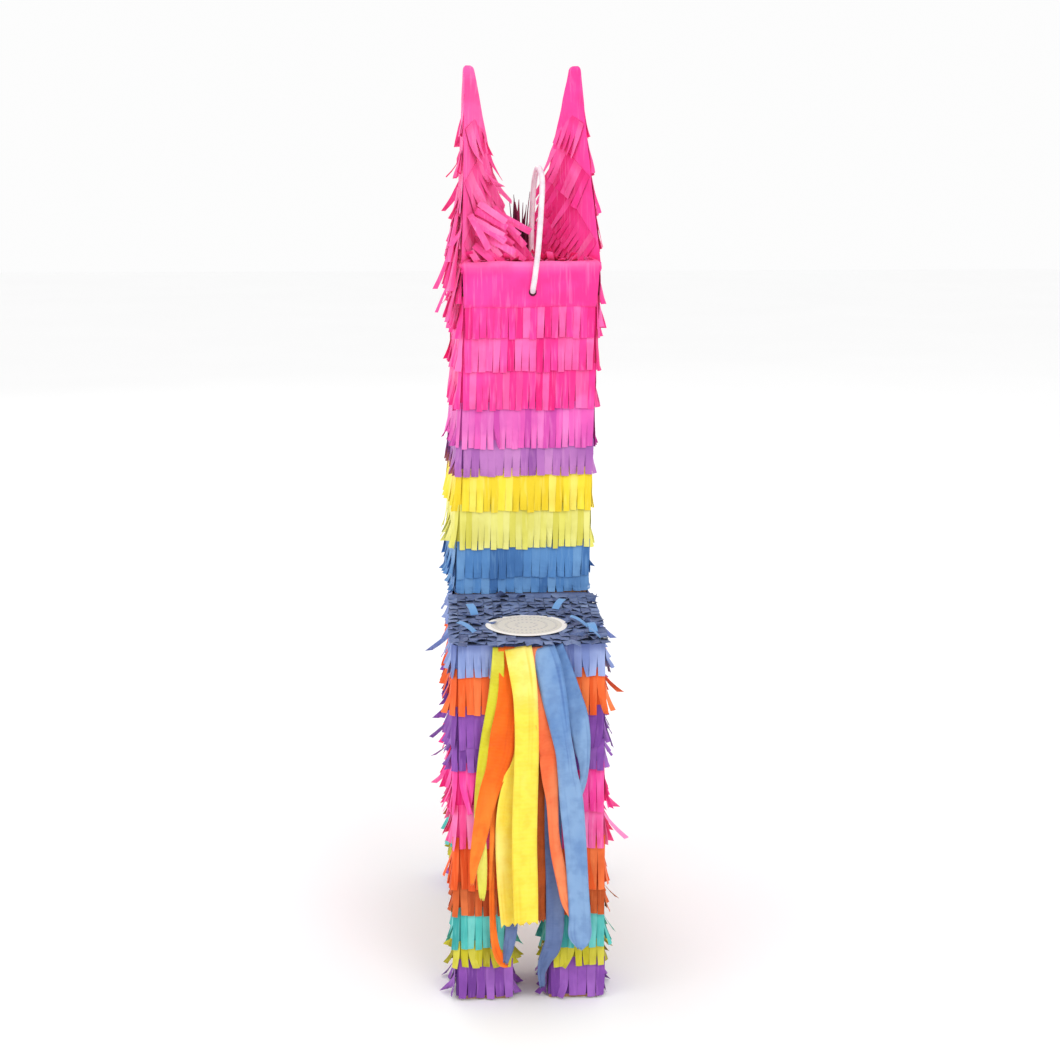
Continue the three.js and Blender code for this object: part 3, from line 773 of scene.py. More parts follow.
# %% Rows of the neck
TIDY = {"Lift": 2.6 * MM, "Sway": 1.8 * MM, "Stray share": 0.05}  # the neck's paper is less handled
NECK_WALK = ring(-BODY_HALF, NECK_REAR, BODY_HALF, BODY_LENGTH)
NECK_ROWS = (  # name, dye, top, bottom, strand width, where the slits start, CAD nodes
    ("pink_low", "pink", 363 + TUCK, 339, 4.2, 0.46, ()),
    ("violet", "violet", 339 + TUCK, 315, 4.0, 0.52, ("neck_fringe_violet",)),
    ("purple", "plum", 315 + TUCK, 297, 5.2, 0.44, ("neck_fringe_purple",)),
    ("yellow", "yellow", 297 + TUCK, 274, 4.6, 0.42, ("neck_fringe_yellow",)),
    ("yellow_green", "yellow_green", 274 + TUCK, 250, 4.0, 0.5, ("neck_fringe_lime",)),
    ("blue", "blue", 250 + TUCK, 231, 5.4, 0.55, ("neck_fringe_blue",)),
    ("blue_foot", "blue", 231 + TUCK, 221, 5.4, 0.7, ()),
)
for label, dye, top, bottom, wide, slit, nodes in NECK_ROWS:
    cut = {"Strand width": wide * MM, "Slit start": slit}
    rows = [hanging_row(neck_at, NECK_WALK, top, bottom)]
    fringe(f"neck_row_{label}", rows, dye, nodes=nodes, **TIDY, **cut)

# %% [markdown]
# ## Back
# Rows lie flat on the back, their ends towards the rump, and stop clear of the round filling flap.

# %% Rows of the back
sticker_low, sticker_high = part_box("fill_sticker")
STICKER = ((sticker_low + sticker_high) / 2 - ORIGIN) / MM
STICKER_RADIUS = (sticker_high.x - sticker_low.x) / 2 / MM
BACK_PITCH = 8.5
BACK_STRAND = 15
SHORTEST_STRAND = 5
BACK_COLUMNS = 40
UP = Vector((0, 0, 1))


def back_strand(x, y):
    """How long a strand can be that starts at y and points at the rump, so that it ends clear of the flap."""
    reach = STICKER_RADIUS - 1
    away = x - STICKER.x
    if abs(away) >= reach:
        return BACK_STRAND
    half_chord = math.sqrt(reach**2 - away**2)
    if y > STICKER.y:
        return min(BACK_STRAND, y - STICKER.y - half_chord)
    return 0 if y > STICKER.y - half_chord else BACK_STRAND


def back_rows():
    rows = []
    y = 9.0
    while y < NECK_REAR + 2:
        stops = []
        for i in range(BACK_COLUMNS):
            x = -BODY_HALF + i * 2 * BODY_HALF / (BACK_COLUMNS - 1)
            length = back_strand(x, y)
            if length < SHORTEST_STRAND:
                rows.append((stops, False))
                stops = []
                continue
            root = at(x, y, BACK + 0.1)
            stops.append((root, UP, at(x, y - length, BACK + 0.8) - root, 0.3))
        rows.append((stops, False))
        y += BACK_PITCH
    return [row for row in rows if len(row[0]) > 1]


fringe("back_rows", back_rows(), "slate", lining=False,
       **{"Slit start": 0.3, "Strand width": 5.2 * MM, "Sway": 2.6 * MM, "Stray share": 0.1})

# %% Base paper of the back
def back_base():
    """A thin sheet over the whole back with a round hole for the flap, made as rings of points."""
    bm = bmesh.new()
    hole = STICKER_RADIUS - 2.5
    side, rear, front = BODY_HALF - 0.3, 0.2, NECK_REAR + 1
    directions = [2 * math.pi * i / 96 for i in range(96)]
    rings = []
    for level in (BACK - 0.9, BACK - 0.5):
        inner, outer = [], []
        for angle in directions:
            dx, dy = math.cos(angle), math.sin(angle)
            reach_x = (side - abs(dx) * STICKER.x) / max(abs(dx), 1e-6)
            reach_y = (front - STICKER.y if dy > 0 else STICKER.y - rear) / max(abs(dy), 1e-6)
            reach = min(reach_x, reach_y)
            inner.append(bm.verts.new(at(STICKER.x + dx * hole, STICKER.y + dy * hole, level)))
            outer.append(bm.verts.new(at(STICKER.x + dx * reach, STICKER.y + dy * reach, level)))
        rings.append((inner, outer))
    (low_in, low_out), (high_in, high_out) = rings
    skin(bm, [low_in, low_out, high_out, high_in, low_in], closed=True)
    bmesh.ops.recalc_face_normals(bm, faces=bm.faces)
    # the sheet has no shade or along values, so its material paints it in the deep dye: painted shade under
    # the back's rows
    piece_of(bm, "back_base_paper", TISSUES["slate"], "shell", ("back_fringe",))


back_base()
print("base paper of the back made")

# %% Loose strands on the back
STRAND_PAPER, SHEET_PAPER = 0.2, 0.3  # mm of thickness
LOOSE_STRANDS = (  # x, y, z above the back, turn in degrees, tilt in degrees, length
    (-36, 26, 3.0, 60, 18, 12), (-32, 66, 3.4, 20, 22, 10), (22, 78, 3.2, -35, 20, 10),
    (31, 34, 3.6, 75, 24, 12), (39, 8, 2.0, 85, 40, 12), (38, 22, 3.0, 10, 15, 9),
)


def loose_strands():
    bm = bmesh.new()
    for x, y, rise, turn, tilt, length in LOOSE_STRANDS:
        grid = bmesh.ops.create_grid(bm, x_segments=2, y_segments=6, size=0.5)["verts"]
        for vertex in grid:
            curl = 1.6 * math.sin((vertex.co.y + 0.5) * 2.4)
            vertex.co = Vector((vertex.co.x * 5, vertex.co.y * length, curl))
        place = (Matrix.Translation(at(x, y, BACK + rise))
                 @ Matrix.Rotation(math.radians(turn), 4, "Z")
                 @ Matrix.Rotation(math.radians(tilt), 4, "X")
                 @ Matrix.Diagonal((MM, MM, MM, 1)))
        bmesh.ops.transform(bm, matrix=place, verts=grid)
    paint(bm, shade=0.8, along=0.8)
    piece_of(bm, "back_loose_strands", TISSUES["blue"], "shell", thickness=STRAND_PAPER)


loose_strands()
print(len(LOOSE_STRANDS), "loose strands")

# %% [markdown]
# ## Head
# One unslit sheet of pink paper is folded over the top edge of the head. Below it hang two pink
# rows, and short rows cover the muzzle. The fold is a rounded ledge, a little proud and uneven.

# %% Paper folded over the head
def wave_at(place, size, seed):
    """A soft unevenness, up to size, that changes over about a centimetre."""
    return noise.noise(place / MM / 11 + Vector((seed, seed * 1.7, 0))) * size


HEAD_LEVELS = (  # distance out from the head's faces, height from its top
    (-0.5, -27), (0.4, -26.5), (0.9, -24), (0.8, -15), (0.9, -7), (1.1, -2), (0.9, 0.2), (-0.4, 1.3),
    (-2.5, 1.5), (-5, 0.9), (-9, 0.6),
)
LEDGE_PAINTED_HIGHLIGHT = {5: 0.75, 6: 1.0, 7: 1.0, 8: 0.85}  # the folded edge is painted paler: a painted highlight along the ledge


def folded_head_paper():
    bm = bmesh.new()
    shade, along = (bm.verts.layers.float.new(name) for name in ("shade", "along"))
    rings = []
    for out, rise in HEAD_LEVELS:
        side, rear, front = BODY_HALF + out, NECK_REAR - out, BODY_LENGTH + out
        walk = ring(-side, rear, side, front, max(3.2 + out, 1), 5)
        loop = []
        for (x, y, nx, ny), (next_x, next_y, _, _) in zip(walk, walk[1:] + walk[:1]):
            steps = max(int(math.hypot(next_x - x, next_y - y) // 3), 1)
            for t in (k / steps for k in range(steps)):
                loop.append((x + (next_x - x) * t, y + (next_y - y) * t, nx, ny, HEAD_TOP + rise))
        rings.append(loop)
    count = min(len(points) for points in rings)
    rows = []
    for level, points in enumerate(rings):
        row = []
        for i in range(count):
            x, y, nx, ny, z = points[int(i * len(points) / count)]
            place = neck_at(x, y, z)
            bump = wave_at(place, 0.7, 3)
            if level == 0:
                z += wave_at(place, 1.0, 8)
            if abs(nx) > 0.5:
                z = max(z, HEAD_TOP - 6 + level)
            vertex = bm.verts.new(neck_at(x + nx * bump, y + ny * bump, z + wave_at(place, 0.6, 5)))
            vertex[shade] = LEDGE_PAINTED_HIGHLIGHT.get(level, 0.46)
            vertex[along] = 0.6
            row.append(vertex)
        rows.append(row)
    skin(bm, rows, closed=True)
    bmesh.ops.recalc_face_normals(bm, faces=bm.faces)
    piece_of(bm, "head_fold_paper", TISSUES["pink"], "shell", ("head_tissue",),
             SHEET_PAPER, smooth=True)


folded_head_paper()
print("head paper folded")

# %% Rows of the head and the muzzle
def open_head_walk():
    """Round the head from one side of the muzzle, behind, to the other side."""
    start = 10  # the ring's front left corner comes third, so turn the list to begin there
    front_left = (-MUZZLE_HALF - 3, BODY_LENGTH, 0, 1)
    front_right = (MUZZLE_HALF + 3, BODY_LENGTH, 0, 1)
    return [front_left] + NECK_WALK[start:] + NECK_WALK[:start] + [front_right]


for label, top, bottom in (("middle", 384 + TUCK, 363), ("high", HEAD_TOP - 20, 384)):
    rows = [hanging_row(neck_at, open_head_walk(), top, bottom, closed=False)]
    fringe(f"head_row_{label}", rows, "pink", **TIDY)


RUFFLED = {"Lift": 5 * MM, "Sway": 3 * MM, "Stray share": 0.1}  # the left side, behind the eye
EYE_EDGE = NECK_REAR + 44
HEAD_SPLAY = 2.6
HEAD_SIDES = (
    ("left_rear", -BODY_HALF, NECK_REAR + 3, EYE_EDGE, RUFFLED),
    ("left_front", -BODY_HALF, EYE_EDGE, BODY_LENGTH - 3, TIDY),
    ("right", BODY_HALF, NECK_REAR + 3, BODY_LENGTH - 3, TIDY),
)
for label, edge, rear, front, sizes in HEAD_SIDES:
    way = math.copysign(1, edge)
    walk = [(edge, rear, way, 0), (edge, front, way, 0)]
    rows = [hanging_row(neck_at, walk, HEAD_TOP - down, HEAD_TOP - down - length, False, splay=HEAD_SPLAY)
            for down, length in ((1, 24), (14, 26))]
    fringe(f"head_side_rows_{label}", rows, "pink", **sizes)
walk = [(x, BODY_LENGTH, 0, 1) for x in (BODY_HALF - 3, 3 - BODY_HALF)]
brow_rows = [hanging_row(neck_at, walk, HEAD_TOP - 1, HEAD_TOP - 24, False, splay=HEAD_SPLAY)]
fringe("brow_rows", brow_rows, "pink", **TIDY)


def muzzle_walk():
    """From the head along one side of the muzzle, round its tip and back."""
    box = ring(-MUZZLE_HALF, BODY_LENGTH + 1, MUZZLE_HALF, MUZZLE_TIP, 3.0)
    return [(MUZZLE_HALF, BODY_LENGTH + 2, 1, 0)] + box[5:15] + [(-MUZZLE_HALF, BODY_LENGTH + 2, -1, 0)]


MUZZLE_LEVELS = ((MUZZLE_TOP - 32, MUZZLE_BOTTOM), (MUZZLE_TOP - 14, MUZZLE_TOP - 36),
                 (MUZZLE_TOP - 0.5, MUZZLE_TOP - 18))
muzzle_rows = [hanging_row(neck_at, muzzle_walk(), top, bottom, closed=False)
               for top, bottom in MUZZLE_LEVELS]
fringe("muzzle_rows", muzzle_rows, "pink")


def flat_row(half, y, z, length, rise, loose):
    """A row on a level surface. Its strands point forward, or back where length is below zero."""
    stops = []
    for x in (-half, half):
        root = neck_at(x, y, z)
        stops.append((root, UP, neck_at(x, y + length, z + rise) - root, loose))
    return stops, False


bridge_rows = [flat_row(MUZZLE_HALF - 3, MUZZLE_TIP - back, MUZZLE_TOP - 0.7, 20, 1.2, 0.4)
               for back in (19, 34, 49, 64, 71)]
fringe("bridge_rows", bridge_rows, "pink")
top_rows = [flat_row(BODY_HALF - 6, NECK_REAR + ahead, HEAD_TOP - 0.3, -19, 2.0, 1.0)
            for ahead in (22, 36, 50, 64, 77)]
fringe("head_top_rows", top_rows, "pink")

# %% Chin paper
def chin_paper():
    """A plain sheet under the muzzle, a little uneven."""
    bm = bmesh.new()
    columns, lengths = 20, 24
    level = MUZZLE_BOTTOM + 0.7
    grid = []
    for j in range(lengths + 1):
        y = BODY_LENGTH + 0.5 + (MUZZLE_TIP - BODY_LENGTH - 2.5) * j / lengths
        line = []
        for i in range(columns + 1):
            x = (MUZZLE_HALF - 1.2) * (2 * i / columns - 1)
            dip = abs(wave_at(neck_at(x, y, level), 0.5, 12))
            line.append(bm.verts.new(neck_at(x, y, level - dip)))
        grid.append(line)
    skin(bm, grid[::-1])
    # with no along value the material's root shade paints the chin partly in the deep dye: painted shade
    # under the muzzle
    paint(bm, shade=0.4)
    piece_of(bm, "chin_paper", TISSUES["pink"], "shell", thickness=SHEET_PAPER)


chin_paper()
print("chin papered")

# %% [markdown]
# ## Ears
# Each ear is a tall three-sided pyramid of folded card in pink paper: plain near the blunt tip,
# slit in slanting rows lower down. The paper is a loft of rounded triangles that shrink towards the
# tip, and the rows follow slanting lines on each of its three faces.

# %% Ear papers
EAR_BASE = ((BODY_HALF, NECK_REAR), (BODY_HALF, NECK_REAR + 66), (5, NECK_REAR + 66))
EAR_RISE = 119 / 0.92
EAR_TOP_SHARE = 0.895
EAR_TIP_RADIUS = 3.7
EAR_TIP_FLARE = 0.12  # how fast the blunt tip widens downwards


def ear_corner(side, tip_inset, corner, share):
    """A corner of the ear's triangle at a share of its height, before rounding."""
    apex = Vector((BODY_HALF - tip_inset, NECK_REAR + tip_inset / 2 + 2))
    flat = Vector(EAR_BASE[corner]).lerp(apex, share)
    return Vector((side * flat.x, flat.y, HEAD_TOP + EAR_RISE * share))


def rounded_triangle(corners, radius):
    """Points round a triangle with its corners rounded."""
    points = []
    for i in range(3):
        here, before, after = corners[i], corners[i - 1], corners[(i + 1) % 3]
        start = here + (before - here).normalized() * radius
        end = here + (after - here).normalized() * radius
        for t in (0, 0.25, 0.5, 0.75, 1):
            points.append(start.lerp(here, t).lerp(here.lerp(end, t), t))
    return points


EAR_MARGIN = 2.6  # mm between a row's end and the edge of its face
ROUNDED_TIP = [(0.907, 0.93), (0.917, 0.75), (0.924, 0.42)]  # share of the height, share of the width
EAR_LEVELS = [(i * EAR_TOP_SHARE / 22, 1.0) for i in range(23)] + ROUNDED_TIP


def ear_paper(name, side, tip_inset, dye, nodes):
    bm = bmesh.new()
    rows = []
    for share, shrink in EAR_LEVELS:
        body_share = min(share, EAR_TOP_SHARE)
        corners = [ear_corner(side, tip_inset, c, body_share) for c in range(3)]
        centre = sum(corners, Vector()) / 3
        height = HEAD_TOP + EAR_RISE * share
        section = rounded_triangle(corners, min(1.8, (corners[0] - corners[1]).length * 0.3))
        mean_radius = sum((point - centre).length for point in section) / len(section)
        blunt = EAR_TIP_RADIUS + EAR_TIP_FLARE * EAR_RISE * (EAR_TOP_SHARE - body_share)
        across = [point.x for point in section]
        widen = max(1, 2 * blunt / (max(across) - min(across)))
        deepen = max(1, EAR_TIP_RADIUS / mean_radius)
        line = []
        for point in section:
            inside = (point - centre) * shrink
            flat = centre + Vector((inside.x * widen, inside.y * deepen, 0))
            flat += (flat - centre).normalized() * wave_at(neck_at(flat.x, flat.y, height), 0.5, 21)
            line.append(bm.verts.new(neck_at(flat.x, flat.y, height)))
        rows.append(line)
    skin(bm, rows, closed=True)
    bm.faces.new(rows[-1])
    bm.faces.new(reversed(rows[0]))
    bmesh.ops.recalc_face_normals(bm, faces=bm.faces)
    paint(bm, shade=0.46, along=0.6)
    piece_of(bm, name, TISSUES[dye], "shell", nodes, smooth=True)


def ear_rows(side, tip_inset, first, second, rows):
    """Slanting rows on one face. Each is (height up the slope, tilt in degrees, strand length)."""
    a, b = ear_corner(side, tip_inset, first, 0), ear_corner(side, tip_inset, second, 0)
    top = (ear_corner(side, tip_inset, first, 1) + ear_corner(side, tip_inset, second, 1)) / 2
    third = ear_corner(side, tip_inset, 3 - first - second, 0)
    level = (b - a).normalized()
    up = (top - a) - level * (top - a).dot(level)
    slope_length = up.length
    up.normalize()
    out = level.cross(up)
    if out.dot(third - a) > 0:
        out = -out
    apex_along = (top - a).dot(level)
    base_length = (b - a).length
    made = []
    for height, tilt, length in rows:
        turn = math.radians(tilt)
        inside = []
        for step in range(-40, 121):
            u = base_length * step / 80
            v = height + (u - base_length / 2) * math.tan(turn)
            share = v / slope_length
            low, high = apex_along * share, base_length + (apex_along - base_length) * share
            if 0.5 < v < slope_length * 0.88 and low + EAR_MARGIN < u < high - EAR_MARGIN:
                inside.append((u, v))
        if len(inside) < 2:
            continue
        hang_way = level * math.sin(turn) - up * math.cos(turn)
        stops = []
        for u, v in (inside[0], inside[-1]):
            root_flat = a + level * u + up * v + out * 0.2
            tip_flat = root_flat + hang_way * length + out * 1.4
            root, tip, outer = (neck_at(*flat) for flat in (root_flat, tip_flat, root_flat + out))
            stops.append((root, (outer - root).normalized(), tip - root, 0.5))
        made.append((stops, False))
    return made


EAR_SLANTS = ((98, 26, 24), (75, 36, 25), (49, 46, 26), (25, 40, 22))
EAR_FACES = ((0, 2, 1), (1, 0, 3), (2, 1, 2))  # two corners, and by how much the rows' tilt is divided
EAR_SLITS = {"Slit start": 0.4, "Strand width": 4.2 * MM}
WILD = {"Lift": 9 * MM, "Sway": 4 * MM, "Stray share": 0.2, "Parting": 0.24}
PRESSED = {"Lift": 2.2 * MM, "Sway": 1.0 * MM, "Stray share": 0.0, "Parting": 0.34}
# the left ear's paper is a paler pink than the right ear's: painted light
for label, side, tip_inset, dye, sizes in (("left", -1, 4, "lit_pink", WILD), ("right", 1, 15, "pink", PRESSED)):
    ear_paper(f"ear_paper_{label}", side, tip_inset, dye, (f"ear_tissue_{label}",))
    rows = []
    for first, second, ease in EAR_FACES:
        slants = [(height, tilt / ease, length) for height, tilt, length in EAR_SLANTS]
        rows += ear_rows(side, tip_inset, first, second, slants)
    fringe(f"ear_rows_{label}", rows, dye, lining=False, **EAR_SLITS, **sizes)

# %% Paper heaped between the ears
HEAP_COUNT = 36
HEAP_STRAND = 4.2


def ear_heap():
    """Loose strands that slope from the left ear's inner face down to the middle of the head."""
    luck = random.Random(57)
    bm = bmesh.new()
    shade, along = (bm.verts.layers.float.new(name) for name in ("shade", "along"))
    for _ in range(HEAP_COUNT):
        towards_middle = luck.uniform(0.05, 0.85)
        rise = luck.uniform(6, 40) * (1.1 - 0.45 * towards_middle)
        foot = Vector((4 - BODY_HALF + 34 * towards_middle, NECK_REAR + 5 + 24 * towards_middle,
                       HEAD_TOP + rise))
        droop = math.radians(luck.uniform(28, 66))
        length = min(luck.uniform(17, 27), (rise - 1) / math.sin(droop))
        tone = luck.uniform(0.1, 0.9)
        twist = luck.uniform(-0.5, 0.5)
        run = Vector((math.cos(droop), -0.12, -math.sin(droop)))
        across = Vector((math.sin(droop), twist, math.cos(droop))).normalized()
        lifted = luck.uniform(1, 4)
        grid = []
        for share in (step / 7 for step in range(8)):
            line = []
            for edge in (-0.5, 0, 0.5):
                place = foot + run * share * length + across * edge * HEAP_STRAND
                place.y -= lifted * math.sin(share * 2.6) + (0.5 - abs(edge)) * 0.8
                vertex = bm.verts.new(neck_at(*place))
                vertex[shade] = tone
                vertex[along] = 0.3 + 0.5 * share
                line.append(vertex)
            grid.append(line)
        skin(bm, grid)
    # the heap is in the left ear's paler pink: painted light
    piece_of(bm, "ear_heap", TISSUES["lit_pink"], "shell", thickness=STRAND_PAPER)


ear_heap()
print(HEAP_COUNT, "strands heaped between the ears")

# %% Curtain beside the left ear
# Long limp strands hang over the left side of the head from rows glued up the ear.
LIMP = {"Lift": 3.5 * MM, "Sway": 2.6 * MM, "Stray share": 0.1, "Slit start": 0.08, "Parting": 0.36,
        "Strand width": 3.6 * MM}
curtain_rows = []
for top, bottom, far in ((46, 2, 38), (27, -16, 42), (6, -34, 40)):
    walk = [(-BODY_HALF, NECK_REAR + near, -1, 0) for near in (2, far)]
    curtain_rows.append(hanging_row(neck_at, walk, HEAD_TOP + top, HEAD_TOP + bottom, False, splay=7))
# the curtain is in the left ear's paler pink: painted light
fringe("ear_curtain", curtain_rows, "lit_pink", lining=False, **LIMP)

# %% [markdown]
# ## Forelock
# A tuft of paper spikes stands up in front of the ears, painted dark as painted shade for where it stands
# between the ears. Each spike is a narrow blade with a fold down its middle, wide at the foot and drawn to a
# point.

# %% Forelock spikes
forelock_low, forelock_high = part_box("forelock")
FORELOCK_SPIKES = 17


def forelock():
    """Blades fanned across the width of the forelock's place on the head."""
    luck = random.Random(41)
    bm = bmesh.new()
    shade, along = (bm.verts.layers.float.new(name) for name in ("shade", "along"))
    width = (forelock_high.x - forelock_low.x) / MM
    height = (forelock_high.z - forelock_low.z) / MM
    middle = ((forelock_low + forelock_high) / 2 - ORIGIN) / MM
    for i in range(FORELOCK_SPIKES):
        share = i / (FORELOCK_SPIKES - 1) * 2 - 1
        foot = Vector((middle.x + share * width * 0.42, middle.y + luck.uniform(-4, 4), HEAD_TOP - 0.5))
        tall = height * luck.uniform(0.55, 0.98) * (1 - 0.25 * abs(share))
        half = luck.uniform(1.6, 2.6)
        turn = luck.uniform(-0.9, 0.9)
        lean_x, lean_y = share * 7 + luck.uniform(-3, 3), luck.uniform(-6, 5)
        tone = luck.uniform(0.1, 0.9)
        grid = []
        for step in range(7):
            t = step / 6
            narrow = half * (1 - t) ** 0.8 + 0.15
            centre = foot + Vector((lean_x * t * t, lean_y * t * t, tall * t))
            across = Vector((math.cos(turn + t), math.sin(turn + t), 0))
            crease = Vector((-across.y, across.x, 0)) * narrow * 0.5
            line = []
            for place in (centre - across * narrow, centre + crease, centre + across * narrow):
                vertex = bm.verts.new(ORIGIN + place * MM)
                vertex[shade] = tone
                vertex[along] = 0.15 + 0.12 * step
                line.append(vertex)
            grid.append(line)
        skin(bm, grid)
    piece_of(bm, "forelock_spikes", TISSUES["shadow_pink"], "shell", ("forelock",), 0.25)


forelock()
print(FORELOCK_SPIKES, "spikes in the forelock")

# %% [markdown]
# ## Crepe paper for the streamers
# Crepe is a heavier paper with fine ribs across the strip and soft folds along it. The folds get painted
# shade and the rib crests a faint painted highlight. The ribs must follow each strip as it turns, so this
# group reads the strip's own UV map, laid out in metres.

# %% Crepe group
def build_crepe_group():
    tree, given, result = new_tree(
        "crepe paper", "ShaderNodeTree",
        [("Dye", COLOUR, (1, 0.8, 0.1, 1)), ("Pale dye and highlight", COLOUR, (1, 0.9, 0.5, 1)),
         ("Deep dye and shade", COLOUR, (0.7, 0.5, 0.0, 1)), ("Ribs per metre", FLOAT, 1300.0), ("Fold shade", FLOAT, 0.5)],
        PAPER_OUTPUTS)
    pale_dye_and_highlight, deep_dye_and_shade = given.outputs["Pale dye and highlight"], given.outputs["Deep dye and shade"]
    coordinates = node(tree, "ShaderNodeTexCoord")
    strip, place = coordinates.outputs["UV"], coordinates.outputs["Object"]
    wobble = blotches(tree, strip, 260, 2)
    parts = node(tree, "ShaderNodeSeparateXYZ", {0: strip})
    phase = product(tree, parts.outputs[1], given.outputs["Ribs per metre"], 2)
    ribs = calc(tree, "SINE", calc(tree, "MULTIPLY_ADD", wobble, 9, phase))
    ribs = calc(tree, "MULTIPLY_ADD", ribs, 0.5, 0.5)
    broad = blotches(tree, place, 38, 3, (1, 1, 0.35))
    long_folds = blotches(tree, strip, 190, 2, (1, 0.05, 1))
    patchy = ranged(tree, broad, 0.4, 0.64, 0, 0.85)
    # painted shade in the low parts of the long folds
    fold_shade = product(tree, ranged(tree, long_folds, 0.5, 0.3, 0, 1.3), given.outputs["Fold shade"])
    mottled = ranged(tree, blotches(tree, place, 130, 4), 0.42, 0.66, 0, 0.3)
    # painted highlight on the rib crests
    rib_highlight = ranged(tree, ribs, 0.2, 0.9, 0, 0.06)
    colour = given.outputs["Dye"]
    for share, dye in ((patchy, pale_dye_and_highlight), (fold_shade, deep_dye_and_shade), (mottled, deep_dye_and_shade), (rib_highlight, pale_dye_and_highlight)):
        colour = mixed(tree, share, colour, dye)
    height = calc(tree, "MULTIPLY_ADD", ribs, 0.14, calc(tree, "MULTIPLY_ADD", long_folds, 0.8, broad))
    give_out(tree, result, colour, ranged(tree, wobble, 0.3, 0.7, 0.6, 0.8), height)
    return tree


CREPES = dyed_papers("crepe", build_crepe_group(), {
    "yellow": ((252, 228, 75), (255, 240, 140), (238, 190, 30)),
    "orange": ((255, 110, 15), (255, 145, 50), (225, 80, 5)),
    # a dark copy of orange: painted shade on the strip that hangs in shadow between the yellow and the salmon
    "shaded_orange": ((176, 78, 22), (205, 110, 50), (120, 48, 12)),
    "salmon": ((245, 110, 60), (250, 145, 95), (215, 75, 35)),
    "blue": ((100, 140, 195), (138, 172, 212), (68, 102, 162)),
    # a dark copy of blue: painted shade on the strips that hang behind the others
    "shaded_blue": ((92, 112, 158), (120, 140, 182), (60, 78, 120)),
    "lime": ((215, 210, 40), (235, 230, 110), (190, 165, 15)),
})
print(len(CREPES), "crepe papers")

# %% [markdown]
# ## The tail
# The tail is a bundle of crepe strips glued at the top of the rump. Each strip is one long sheet:
# it is laid out from a list of heights, with how far to the side it hangs and how wide it shows
# there. Where it shows narrower than it was cut, the strip has turned about its own length.

# %% Streamers
GLUE_HEIGHT = BACK - 2
STRIP_STEP = 2.2  # mm of strip in each row of faces
STRIP_COLUMNS = 8
STRIP_FOLD = 0.8
MOST_TURNED = 1.2  # mm, how deep a turned strip reaches
NARROWEST_CUT = 10.2
RUMP_GAP = 1.2


def streamer(name, dye, depth, turn, nodes, keys, seed):
    """keys are (x, height, shown width); returns the piece, its cut size and its cut area."""
    width = max(max(key[2] for key in keys), NARROWEST_CUT)
    keys = [Vector((x, min(z, GLUE_HEIGHT + 0.6), shown)) for x, z, shown in keys]
    fine = [catmull_rom(keys, step / 200).xy for step in range(201)]
    length = sum((b - a).length for a, b in zip(fine, fine[1:]))
    rows = max(int(length / STRIP_STEP), 8)
    bm = bmesh.new()
    uv = bm.loops.layers.uv.new("UVMap")
    grid, laid = [], {}
    area = 0
    for row in range(rows + 1):
        share = row / rows
        x, z, shown = catmull_rom(keys, share)
        shown = max(min(shown, width), 1.5)
        pinned = min(share * length / 12, 1)
        ahead, back = catmull_rom(keys, min(share + 0.01, 1)), catmull_rom(keys, max(share - 0.01, 0))
        run = Vector((ahead.x - back.x, 0, ahead.y - back.y)).normalized()
        across = Vector((-run.z, 0, run.x)) * shown / 2
        turned = min(math.sqrt(max(width**2 - shown**2, 0)), 2 * MOST_TURNED) / 2 * pinned
        across += Vector((0, turn * turned, 0))
        area += 2 * across.length * length / rows * MM**2
        billow = (1.6 + math.sin(z / 26) * 1.1 + math.sin(share * 17 + seed * 2) * 0.2) * pinned
        gathered = RUMP_GAP + (depth - RUMP_GAP) * (0.25 + 0.75 * min(share * length / 40, 1))
        centre = Vector((x, -gathered - turned * 0.8 - billow, z))
        line = []
        for column in range(STRIP_COLUMNS + 1):
            side = 2 * column / STRIP_COLUMNS - 1
            crease = STRIP_FOLD * (1 - abs(side)) * math.sin(share * 6 + seed) * pinned
            ripple = 0.22 * math.sin(side * 5 + share * 23 + seed) * pinned
            place = centre + across * side + Vector((0, -crease - ripple, 0))
            place.y = min(place.y, -1.3 - 0.3 * pinned)
            if row == rows:
                place.z += 1.2 * math.sin(column * 2.3 + seed)
            vertex = bm.verts.new(at(*place))
            laid[vertex] = (width * (side + 1) / 2 * MM, -share * length * MM)
            line.append(vertex)
        grid.append(line)
    skin(bm, grid[::-1])
    for face in bm.faces:
        for loop in face.loops:
            loop[uv].uv = laid[loop.vert]
    piece = piece_of(bm, name, CREPES[dye], None, nodes, SHEET_PAPER, smooth=True)
    mesh = baked_mesh(piece)
    piece.modifiers.clear()
    piece.data = mesh
    mesh.name = name
    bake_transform(piece)
    print(f"{name}: {width:.0f} x {length:.0f} mm")
    return piece, (width * MM, length * MM), area

